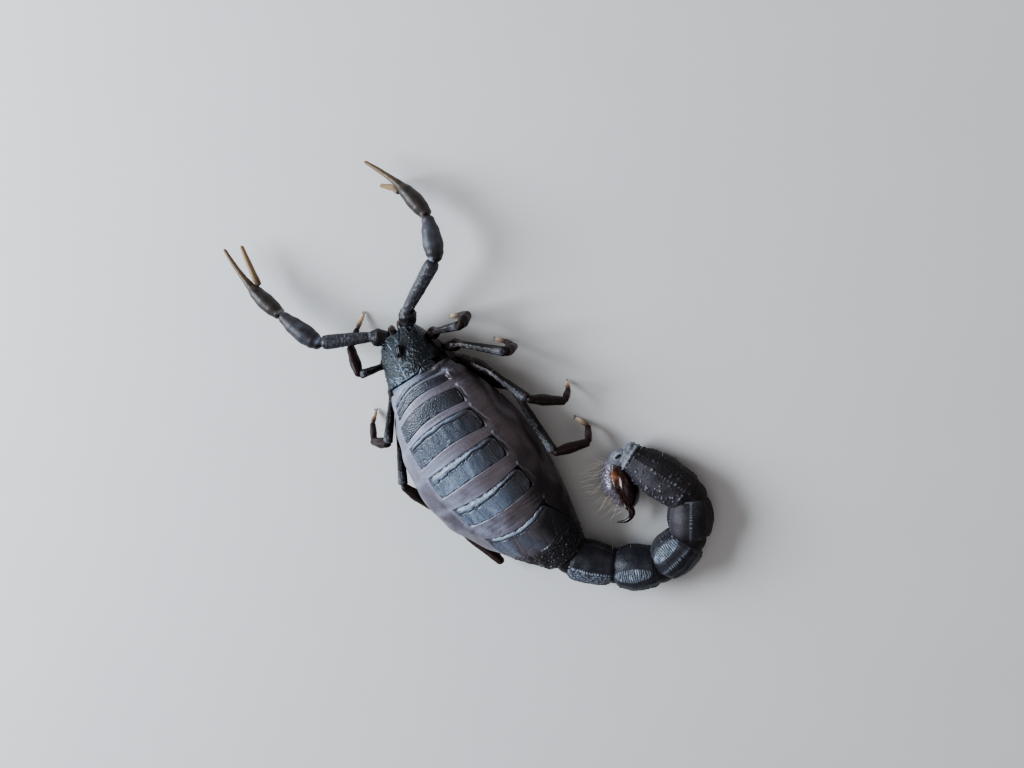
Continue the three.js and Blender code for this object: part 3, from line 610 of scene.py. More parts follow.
scrawls = veins(rings * (1.5, 0.55, 0.7), 1.6, 13, 0.13) * ease(20.6, 18.4, y) * (1 - bare)
scrawls = scrawls * ease(-0.1, 0.5, ripple(rings, 1.6, 18))
side_row = bell(x, 5.4 - 0.11 * (y - 15.1), 0.13) * ease(19.2, 18.6, y)
rear_row = bell(y - rear_edge, 0.22, 0.14)
coarse = grains(rings, 0.46, 11, 0.6) * (1 - bare)
small = grains(rings, 0.25, 12) * (1 - bare)
front_row = bell(front_edge - y, 0.28, 0.14)
on_top = top * ease(0.1, 0.9, edge)
lifted = (0.40 * mound - 0.10 * furrow + 0.12 * strokes * (0.6 + 0.4 * coarse) + 0.08 * coarse + 0.040 * small
          + 0.06 * scrawls * (0.5 + 0.5 * small) + 0.09 * side_row + 0.10 * rear_row * (0.5 + coarse)
          + 0.08 * front_row)
lit = ease(0.35, -0.5, across)
pale = (0.85 * strokes + 0.35 * scrawls * (0.15 + 0.85 * lit)
        + (0.26 * coarse ** 3 + 0.16 * small ** 4) * (0.4 + 0.6 * lit) + 0.3 * side_row * coarse
        + 0.75 * rear_row * (0.4 + coarse) * ease(-0.6, 0.2, across) + 0.12 * front_row * lit)
# Painted shade darkens the right half, turned from the light, and lit paints the grains and lines on the left
# paler as a painted highlight. The bare eye mound is dark of its own.
tones = {"pale": pale * (1 - bare) * on_top, "shade": 0.65 * ease(0.0, 0.55, across) + 0.8 * bare,
         "warm": 0.5 * ease(22.6, 23.4, y)}
piece("carapace_shield", [(relief(rings, lifted * on_top), tones)], carapace_shell, ["carapace"])


def around(sides):
    """The angles of a ring's points, evenly set, as one row."""
    return np.linspace(0, 2 * np.pi, sides, endpoint=False)[None, :]


def ball(centre, radii, rows=40, sides=56):
    """An ellipsoid, as rings from pole to pole."""
    polar = np.linspace(0.02, np.pi - 0.02, rows)[:, None]
    angle = around(sides)
    width = np.sin(polar)
    unit = np.stack([width * np.cos(angle), width * np.sin(angle), np.cos(polar) + 0 * angle], -1)
    return np.array(centre) + unit * radii


lens = horn_material("eye_lens", (0.0022, 0.0025, 0.0045), (0.003, 0.0035, 0.007), (0.05, 0.05, 0.06), 0.12,
                     coat=0.15, gloss=0.22, grain=0.02, cell=0.6)
for side, name in ((1, "right"), (-1, "left")):
    oval = ball((EYE_X + side * 0.14, EYE_Y, 8.97), (0.46, 1.30, 0.52))
    oval[..., 0] += EYE_SLANT * (oval[..., 1] - EYE_Y)
    shells = [(ball((EYE_X + side * 0.24, EYE_Y + 0.10, 9.06), 0.36), {}), (oval, {})]
    for step in range(3):
        place = (1.24 + side * (2.55 - 0.1 * step), 22.05 + 0.42 * step, 7.05 - 0.3 * step)
        shells.append((ball(place, 0.17, 18, 24), {}))
    piece(f"eye_lens_{name}", shells, lens, [f"eye_{name}"])


# ---- Coxal plate and chelicerae ------------------------------------------------------------------
# Under the head the bases of the legs are grown together into one smooth red-brown plate, with a
# seam between each pair. Two short jaws with a nipper each reach out under the carapace's edge.

coxal_shell = horn_material(
    "coxal_shell", (0.012, 0.006, 0.005), (0.024, 0.010, 0.008), (0.30, 0.24, 0.20), 0.34,
    warm=(0.07, 0.028, 0.016), coat=0.15, gloss=0.35, grain=0.3, cell=0.2)
rows, sides = 110, 150
forward = (1 - np.linspace(0, 1, rows))[:, None]
angle = around(sides)
nose = nose_width(forward)
rim = 2.2 + 1.1 * forward
crown = 5.15 * np.sqrt(nose) - rim
keel = rim - (0.7 + 1.2 * forward)
x = 0.3 + forward + (6.7 - 3.8 * forward) * nose * signed_power(np.cos(angle), 0.8)
tall = np.where(np.sin(angle) > 0, crown * np.abs(np.sin(angle)) ** 0.5, -keel * np.abs(np.sin(angle)) ** 0.3)
rings = np.stack([x, 9.6 + 13.3 * forward + 0 * angle, rim + tall], -1)
outward = np.abs(rings[..., 0] - 0.3 - forward)
under = ease(0.2, -0.2, np.sin(angle)) + 0 * forward
seams = sum(bell(rings[..., 1] - 0.55 * outward, y, 0.14) for y in (8.6, 11.6, 14.4, 17.0, 19.4))
middle_seam = bell(outward, 0, 0.12) * under
lifted = -0.16 * seams - 0.14 * middle_seam * ease(0.3, 1, under) + 0.03 * grains(rings, 0.35, 15)
# The side that lies under the carapace is darkened as painted shade.
tones = {"pale": 0.15 * seams, "warm": 0.5 * under, "shade": 0.6 * (1 - under)}
piece("leg_bases", [(relief(rings, lifted), tones)], coxal_shell, ["coxal_plate"])


def profile(along, stops):
    """A smooth outline through pairs of place and size: each goes over into the next by a smooth step."""
    places, sizes = np.array(stops).T
    index = np.clip(np.searchsorted(places, along, side="right") - 1, 0, len(places) - 2)
    part = ease(0, 1, (along - places[index]) / (places[index + 1] - places[index]))
    return sizes[index] + (sizes[index + 1] - sizes[index]) * part


def rounded_path(joints, count, softness=0.0, bow=(0, 0, 0)):
    """Points along the straight lines between joints, set closer at both ends, with the corners rounded over
    a share of the length and the whole bowed out in its middle. Also how far along each point is, 0 to 1."""
    joints = np.array(joints, float)
    steps = np.linalg.norm(np.diff(joints, axis=0), axis=1)
    places = np.concatenate([[0], steps.cumsum()]) / steps.sum()
    u = np.linspace(0, 1, count)
    along = 0.6 * u + 0.4 * (0.5 - 0.5 * np.cos(np.pi * u))
    offsets = np.linspace(-softness, softness, 15) if softness else np.zeros(1)
    taken = along[:, None] + offsets * np.minimum(1, 4 * along * (1 - along))[:, None]
    path = np.stack([np.interp(taken, places, joints[:, axis]).mean(1) for axis in range(3)], -1)
    path += (4 * along * (1 - along))[:, None] * np.array(bow)
    return path, along


def unit(vectors):
    """The vectors, each made 1 long."""
    return vectors / np.linalg.norm(vectors, axis=-1, keepdims=True)


def sweep(path, radius, tall=1.0, roll=0.0):
    """Rings around a path, square to it. The angle starts at the upper side and goes over to the left;
    radius is each point's distance from the path, tall stretches it upwards, and roll tips it to the left."""
    tangent = unit(np.gradient(path, axis=0))
    left = unit(np.cross((0, 0, 1), tangent))
    up = np.cross(tangent, left)
    left, up = np.cos(roll) * left - np.sin(roll) * up, np.sin(roll) * left + np.cos(roll) * up
    angle = around(radius.shape[1])
    sideways, upwards = radius * np.sin(angle), radius * np.cos(angle) * tall
    return path[:, None] + sideways[..., None] * left[:, None] + upwards[..., None] * up[:, None]


def end_caps(along, length, near, far):
    """A factor that rounds a sweep's ends off over near and far millimetres, and leaves a tiny flat there."""
    ends = np.minimum(along * length / near, (1 - along) * length / far)
    return np.clip(np.sqrt(1 - (1 - np.clip(ends, 0, 1)) ** 2), 0.10, 1)


for side, name in ((1, "right"), (-1, "left")):
    start = np.array([1.3 + side * 0.95, 22.0, 4.9])
    path, along = rounded_path([start, start + (0, 1.6, -0.5), start + (-0.1 * side, 2.6, -1.5)], 60, 0.1)
    angle = around(44)
    width = profile(along, [(0, 0.55), (0.4, 0.86), (0.7, 0.62), (1, 0.22)]) * end_caps(along, 3.2, 0.4, 0.3)
    cleft = bell(np.sin(angle), 0, 0.25) * ease(0.62, 0.8, along)[:, None]
    jaw = sweep(path, width[:, None] * (1 - 0.35 * cleft) + 0.02 * np.cos(9 * angle))
    tones = {"pale": 0.5 * cleft, "warm": 0.8 * ease(0.5, 0.9, along)[:, None]}
    piece(f"jaw_{name}", [(jaw, tones)], coxal_shell, [f"chelicera_{name}"])


# ---- Pedipalps -----------------------------------------------------------------------------------
# The claw arms are slender: a granular grey-black femur with a bulging trochanter at its root, a
# smooth grey-brown patella and hand, and long, thin, curved fingers of clear yellow-brown horn.

arm_shell = horn_material(
    "arm_shell", (0.012, 0.011, 0.014), (0.028, 0.025, 0.029), (0.30, 0.35, 0.47), 0.43,
    warm=(0.050, 0.034, 0.030), deep=(0.007, 0.006, 0.006), grain=0.4, cell=0.16)
claw_shell = horn_material(
    "claw_shell", (0.028, 0.022, 0.020), (0.052, 0.040, 0.034), (0.42, 0.40, 0.38), 0.42,
    warm=(0.225, 0.140, 0.068), grain=0.25, cell=0.2, sub=0.05)
PALPS = {  # the base, the knuckle, the elbow, the wrist, the fork of the fingers and the fixed one's tip
    "right": [(3.5, 22.7, 4.8), (4.9, 24.7, 5.8), (14.0, 28.0, 8.0), (16.6, 34.2, 6.2), (14.9, 40.6, 4.6),
              (12.5, 47.0, 3.6)],
    "left": [(-0.4, 22.8, 4.8), (-2.2, 24.7, 6.0), (-9.2, 28.6, 7.4), (-12.5, 36.0, 6.4), (-14.0, 42.8, 5.0),
             (-15.15, 50.2, 4.0)]}
MOVABLE_FINGERS = {"right": [(14.6, 39.7, 4.6), (14.1, 40.9, 3.7), (12.8, 41.9, 2.2), (11.5, 43.0, 1.0)],
                   "left": [(-13.3, 41.9, 5.1), (-13.0, 43.6, 5.2), (-12.6, 46.5, 4.7), (-12.35, 48.9, 4.0)]}


def degrees_from(place, angle):
    """How far round from a place, in degrees, an angle in radians lies: from -180 to 180 degrees."""
    return (np.degrees(angle) - place + 180) % 360 - 180


def ridges(angle, places, width):
    """Ridges of height 1 that run along a limb at some angles, in degrees."""
    return sum(bell(degrees_from(place, angle), 0, width) for place in places) if places else 0 * angle


def path_length(path):
    """How long a path is, from point to point."""
    return np.linalg.norm(np.diff(path, axis=0), axis=1).sum()


def direction(start, end):
    """The vector of length 1 that points from start to end."""
    return (end - start) / np.linalg.norm(end - start)


def root_share(root, second, far):
    """How much of the way from root by second to far lies before second, as a share of the whole."""
    near = np.linalg.norm(second - root)
    return near / (near + np.linalg.norm(far - second))


def limb_part(joints, stops, tall, caps, rows=110, sides=64, softness=0.0, bow=(0, 0, 0), lines=(), seed=1,
              grain=0.03, ridge=0.05, spacing=0.26):
    """One part of a limb: a sweep whose half widths follow stops, with ridges along it at the angles in
    lines, and grains over it. Returns its rings, how far along they are, the angles around it, and the
    ridges' and grains' heights."""
    path, along = rounded_path(joints, rows, softness, bow)
    length = path_length(path)
    angle = around(sides)
    width = profile(along, stops) * end_caps(along, length, *caps)
    rings = sweep(path, width[:, None] + 0 * angle, profile(along, tall)[:, None])
    crest = ridges(angle, lines, 7) * ease(0.04, 0.12, along)[:, None] * ease(0.98, 0.9, along)[:, None]
    bumps = grains(rings, spacing, seed)
    rings = relief(rings, ridge * crest * (0.6 + 0.4 * bumps) + grain * bumps)
    return rings, along[:, None] + 0 * angle, angle, crest, bumps


for side, joints in PALPS.items():
    inner = 1 if side == "right" else -1
    base, knuckle, elbow, wrist, fork, tip = np.array(joints)
    split = root_share(base, knuckle, elbow)
    rings, along, angle, crest, bumps = limb_part(
        [base, knuckle, elbow],
        [(0, 0.7), (split * 0.30, 1.20), (split * 0.75, 1.38), (split * 1.12, 0.78), (split * 1.5, 0.86),
         (0.6, 1.0), (0.90, 1.10), (1, 0.95)],
        [(0, 0.95), (split, 0.95), (0.5, 1.1), (1, 1.1)], (0.5, 0.6), rows=150, softness=0.02,
        lines=(-50, 50, 125, -125), seed=21, grain=0.065, ridge=0.12, spacing=0.30)
    femur = ease(split * 1.1, split * 1.4, along)
    upper = ease(0.1, 0.8, np.cos(angle)) * femur
    soft = bell(along, 0.0, 0.05) + 0.5 * bell(along, split * 1.10, 0.012)
    streaks = ease(-0.3, 0.8, ripple(rings, 1.1, 25))
    # The upper side's grains are painted paler as a painted sheen, and the underside darker as painted shade.
    # The trochanter's extra dark and the pale joint skin are their own colours.
    tones = {"pale": (0.26 * bumps * streaks + 0.06) * upper + 0.08 * crest * bumps + 0.65 * soft,
             "warm": 0.15 + 0.2 * femur * streaks,
             "shade": 0.6 * ease(0.4, -0.3, np.cos(angle)) + 0.45 * (1 - femur)}
    piece(f"claw_arm_{side}_femur", [(rings, tones)], arm_shell, [f"pedipalp_{side}_femur"])

    reach = direction(elbow, wrist)
    rings, along, angle, crest, *_ = limb_part(
        [elbow - 0.55 * reach + (0.35 * inner, 0, 0), elbow + 0.4 * (wrist - elbow) + (0.15 * inner, 0, 0),
         wrist],
        [(0, 0.80), (0.08, 1.02), (0.20, 1.36), (0.38, 1.56), (0.65, 1.36), (0.88, 0.98), (1, 0.80)],
        [(0, 1.0), (1, 1.1)], (0.75, 0.5), softness=0.15, bow=(0.2 * inner, 0, 0.1),
        lines=(-60, 60, 150, -150), seed=22, grain=0.014, ridge=0.02)
    inward = ease(0.2, 0.9, inner * np.sin(angle) + 0.3 * np.cos(angle))
    collar = bell(along, 0.07, 0.05) * inward
    sheen = ease(0.0, 0.9, np.cos(angle)) * ease(0.1, 0.4, along) * (0.5 + 0.5 * ripple(rings, 1.8, 26))
    tones = {"pale": 0.05 * crest + 0.9 * collar + 0.6 * bell(along, 0.99, 0.025) * inward + 0.16 * sheen,
             "warm": 0.15 + 0.45 * ease(0.3, 1.0, along)}
    piece(f"claw_arm_{side}_patella", [(rings, tones)], arm_shell, [f"pedipalp_{side}_patella"])

    start = wrist - 0.15 * direction(wrist, fork)
    palm = root_share(start, fork, tip)
    rings, along, angle, *_ = limb_part(
        [start, fork, tip],
        [(0, 0.80), (0.08 * palm, 0.98), (0.28 * palm, 1.24), (0.48 * palm, 1.32), (0.75 * palm, 1.10),
         (1.0 * palm, 0.66), (1.25 * palm, 0.48), (0.5 + 0.5 * palm, 0.39), (0.97, 0.28), (1, 0.2)],
        [(0, 1.1), (palm, 1.15), (1, 1.1)], (0.3, 0.5), rows=200, softness=0.10, bow=(0.55 * inner, 0, 0.25),
        lines=(-70, 70), seed=23, grain=0.012, ridge=0.01)
    inward = ease(0.2, 0.9, inner * np.sin(angle) + 0.3 * np.cos(angle))
    tones = {"pale": 0.8 * bell(along, 0.01, 0.02) * inward,
             "warm": 0.55 * ease(palm * 0.75, palm * 1.5, along) + 0.2 * ease(0.85, 1.0, along)}
    piece(f"claw_{side}_hand", [(rings, tones)], claw_shell, [f"pedipalp_{side}_hand"])

    rings, along, *_ = limb_part(
        MOVABLE_FINGERS[side], [(0, 0.42), (0.15, 0.52), (0.5, 0.46), (0.95, 0.32), (1, 0.22)],
        [(0, 1.1), (1, 1.1)], (0.3, 0.5), rows=90, sides=44, softness=0.12, seed=24, grain=0.006, ridge=0.0)
    piece(f"claw_{side}_finger", [(rings, {"warm": ease(-0.2, 0.4, along)})], claw_shell,
          [f"pedipalp_{side}_finger"])


# ---- Legs ----------------------------------------------------------------------------------------
# Eight walking legs, folded at the knees: satin black-brown horn with fine silvery keels, their glints
# partly painted highlights, short swollen trochanters, and thin tan feet that end in two hooked claws each.

leg_shell = horn_material(
    "leg_shell", (0.007, 0.0055, 0.006), (0.016, 0.011, 0.0105), (0.36, 0.38, 0.43), 0.50,
    warm=(0.040, 0.016, 0.012), deep=(0.005, 0.004, 0.004), gloss=0.20, grain=0.34, cell=0.16)
foot_shell = horn_material(
    "foot_shell", (0.34, 0.22, 0.135), (0.50, 0.35, 0.22), (0.80, 0.65, 0.48), 0.42,
    warm=(0.08, 0.048, 0.032), grain=0.2, cell=0.2, sub=0.15)
LEGS = {  # the hip, second joint, knee, lower joint, ankle and foot of each leg, from front to rear
    "right": [
        [(4.6, 19.8, 4.0), (6.9, 19.5, 5.4), (11.7, 17.9, 8.6), (12.4, 18.7, 5.0), (10.4, 19.6, 2.4),
         (7.9, 20.5, 0.1)],
        [(5.6, 17.2, 3.9), (9.2, 15.7, 6.3), (15.4, 10.7, 9.2), (15.3, 10.7, 4.8), (13.9, 12.1, 2.2),
         (11.8, 13.7, 0.1)],
        [(6.3, 14.7, 3.3), (10.8, 9.9, 7.2), (13.9, 3.1, 9.2), (17.0, -0.4, 4.8), (17.7, 0.6, 2.6),
         (17.6, 2.0, 0.1)],
        [(6.4, 12.1, 2.6), (11.25, 5.8, 4.4), (11.8, -5.8, 7.6), (16.0, -7.6, 4.0), (16.8, -5.6, 2.0),
         (15.1, -3.3, 0.1)]],
    "left": [
        [(-2.3, 20.3, 4.0), (-3.9, 20.1, 5.6), (-6.8, 21.0, 8.0), (-6.5, 25.5, 5.2), (-5.1, 27.4, 2.4),
         (-3.2, 29.2, 0.1)],
        [(-3.6, 17.4, 3.9), (-5.7, 15.1, 5.6), (-9.8, 9.8, 7.6), (-13.2, 11.5, 4.0), (-12.5, 14.0, 2.0),
         (-11.3, 15.7, 0.1)],
        [(-4.6, 14.7, 3.3), (-8.7, 9.9, 4.6), (-12.0, 3.1, 7.2), (-11.1, -2.4, 4.6), (-11.8, 2.2, 1.6),
         (-11.6, 6.2, 0.1)],
        [(-5.5, 12.1, 2.2), (-9.8, 6.3, 1.6), (-10.4, -6.0, 3.2), (-7.4, -15.8, 3.4), (-8.5, -10.5, 1.4),
         (-9.2, -6.0, 0.1)]]}

for side, legs in LEGS.items():
    for number, joints in enumerate(legs, 1):
        name = f"leg_{side}_{number}"
        hip, second, knee, lower, ankle, foot = np.array(joints)
        seed = 100 + 10 * number + (side == "left")
        split = root_share(hip, second, knee)
        rings, along, angle, crest, bumps = limb_part(
            [hip, second, knee],
            [(0, 0.45), (split * 0.25, 0.76), (split * 0.66, 1.0), (split * 1.0, 0.54), (split * 1.3, 0.50),
             (0.5 + split / 2, 0.60), (0.90, 0.68), (0.97, 0.74), (1, 0.6)],
            [(0, 1.05), (split, 1.1), (split * 1.4, 1.45), (0.9, 1.45), (1, 1.2)], (0.4, 0.5), rows=120,
            sides=48, softness=0.02, lines=(-26, 26, 180), seed=seed, grain=0.022, ridge=0.09)
        femur = ease(split * 1.1, split * 1.4, along)
        # Painted highlight on the top of the knee end. The keels' pale beads are partly their own silvery
        # colour and partly painted glints.
        painted_knee_highlight = ease(0.78, 0.97, along) * ease(0.4, 0.9, np.cos(angle))
        tones = {"pale": (0.75 * crest * femur * bumps ** 2 + 0.20 * bell(along, split * 1.08, 0.008)
                          + (0.06 * bumps ** 3 + painted_knee_highlight * (0.20 + 0.45 * bumps ** 2)) * femur),
                 "warm": ((1 - femur) * (0.25 + 0.35 * ease(0.6, -0.4, np.cos(angle)))
                          + 0.4 * ease(0.93, 0.99, along)),
                 "gloss": 1 - femur}
        piece(f"{name}_thigh", [(rings, tones)], leg_shell, [f"{name}_femur"])

        reach = direction(knee, lower)
        rings, along, _, crest, bumps = limb_part(
            [knee - 0.25 * reach, lower + 0.1 * reach],
            [(0, 0.52), (0.12, 0.62), (0.42, 0.84), (0.8, 0.68), (0.95, 0.62), (1, 0.5)],
            [(0, 1.2), (1, 1.2)], (0.5, 0.4), rows=80, sides=44, lines=(0, 60, -60), seed=seed + 1,
            grain=0.014, ridge=0.04)
        tones = {"pale": 0.15 * crest * bumps, "warm": 0.25 + 0.25 * along, "gloss": 0.4}
        piece(f"{name}_patella", [(rings, tones)], leg_shell, [f"{name}_patella"])

        reach = direction(lower, ankle)
        rings, along, *_ = limb_part(
            [lower - 0.1 * reach, ankle + 0.1 * reach],
            [(0, 0.40), (0.15, 0.48), (0.5, 0.54), (0.9, 0.44), (1, 0.36)], [(0, 1.1), (1, 1.1)],
            (0.35, 0.3), rows=64, sides=36, lines=(30, -30), seed=seed + 2, grain=0.010, ridge=0.02)
        tones = {"pale": 0.1 * bell(along, 0.5, 0.2), "warm": 0.5 + 0.5 * along}
        piece(f"{name}_tibia", [(rings, tones)], leg_shell, [f"{name}_tibia"])

        reach = direction(ankle, foot)
        sideways = np.cross((0, 0, 1), reach)
        sideways /= np.linalg.norm(sideways)
        rings, along, *_ = limb_part(
            [ankle, foot - 0.55 * reach],
            [(0, 0.26), (0.12, 0.35), (0.45, 0.38), (0.55, 0.30), (0.66, 0.36), (0.95, 0.28), (1, 0.20)],
            [(0, 1.1), (1, 1.1)], (0.25, 0.2), rows=64, sides=32, seed=seed + 3, grain=0.006, ridge=0.0)
        shells = [(rings, {"pale": ease(0.3, 0.8, along), "warm": 0.9 * ease(0.45, 0.1, along)})]
        for turn in (-1, 1):
            claw_root = foot - 0.75 * reach
            claw_tip = foot + turn * 0.28 * sideways - (0, 0, 0.02)
            hook = [claw_root, claw_root + 0.5 * (claw_tip - claw_root) + (0, 0, 0.18), claw_tip]
            claw, *_ = limb_part(hook, [(0, 0.11), (0.4, 0.10), (1, 0.03)], [(0, 1), (1, 1)], (0.05, 0.1),
                                 rows=20, sides=12, softness=0.2, grain=0.0, ridge=0.0)
            shells.append((claw, {"warm": 0.8}))
        piece(f"{name}_foot", shells, foot_shell, [f"{name}_tarsus"])


# ---- Tail ----------------------------------------------------------------------------------------
# Five thick black rings of horn, edged with saw-toothed keels. The first has a beaded rasp on its upper
# face and the next two a ribbed one, rolled over to the outside of the curl. The last is studded with
# grains, and has a pale arched rim at its rear end, round the soft vent.

tail_shell = horn_material(
    "tail_shell", (0.0075, 0.0075, 0.011), (0.016, 0.016, 0.023), (0.40, 0.46, 0.56), 0.43,
    warm=(0.070, 0.064, 0.078), deep=(0.010, 0.006, 0.005), gloss=0.34, grain=0.45, cell=0.16)
dull_shell = horn_material(
    "dull_tail_shell", (0.012, 0.0105, 0.0125), (0.025, 0.0225, 0.027), (0.42, 0.45, 0.52), 0.56,
    warm=(0.070, 0.060, 0.072), deep=(0.014, 0.009, 0.009), gloss=0.28, grain=0.40, cell=0.16)
UPPER = -15  # where the middle of the rasp lies, in degrees from the top of a ring, towards its left
BOXINESS = 2.6  # how square the rings are: 2 would be round
TAIL_ROWS, TAIL_SIDES = 180, 260
TAIL_JOINTS = [(3.1, -20.7, 5.0), (7.6, -25.8, 3.6), (13.7, -29.5, 3.4), (20.2, -28.1, 3.5),
               (24.1, -22.8, 3.5), (19.5, -12.1, 3.4)]
TAIL = [  # roll; half widths near, in the middle and far; tallness; rasp (place along, degrees, half length,
    # half width); keels (degrees from the rasp's middle, height, paleness)
    (-15, (3.15, 3.50, 3.05), 0.92, (0.50, -2, 0.46, 21),
     ((-36, 0.08, 0.10), (-62, 0.10, 0.10), (-95, 0.12, 0.05), (100, 0.13, 0.05), (135, 0.12, 0),
      (-140, 0.12, 0))),
    (10, (3.00, 3.68, 3.10), 0.96, (0.47, -3, 0.43, 20),
     ((-33, 0.08, 0.08), (-60, 0.14, 0.20), (-95, 0.14, 0.10), (98, 0.15, 0.05), (135, 0.14, 0),
      (-140, 0.14, 0))),
    (45, (3.00, 3.72, 3.20), 0.97, (0.52, -5, 0.41, 18),
     ((-46, 0.12, 0.40), (-85, 0.15, 0.12), (38, 0.13, 0.08), (75, 0.15, 0.08), (110, 0.15, 0),
      (-125, 0.15, 0))),
    (75, (3.05, 3.66, 3.15), 0.97, None,
     ((-72, 0.09, 0.45), (-115, 0.16, 0.10), (-8, 0.13, 0.12), (35, 0.16, 0.08), (80, 0.15, 0),
      (-150, 0.15, 0))),
    (90, (3.50, 3.92, 2.40), 0.88, None,
     ((-16, 0.20, 0.10), (-98, 0.20, 0.10), (-122, 0.24, 0.06), (-146, 0.26, 0.03), (-170, 0.2, 0),
      (30, 0.16, 0), (80, 0.16, 0)))]

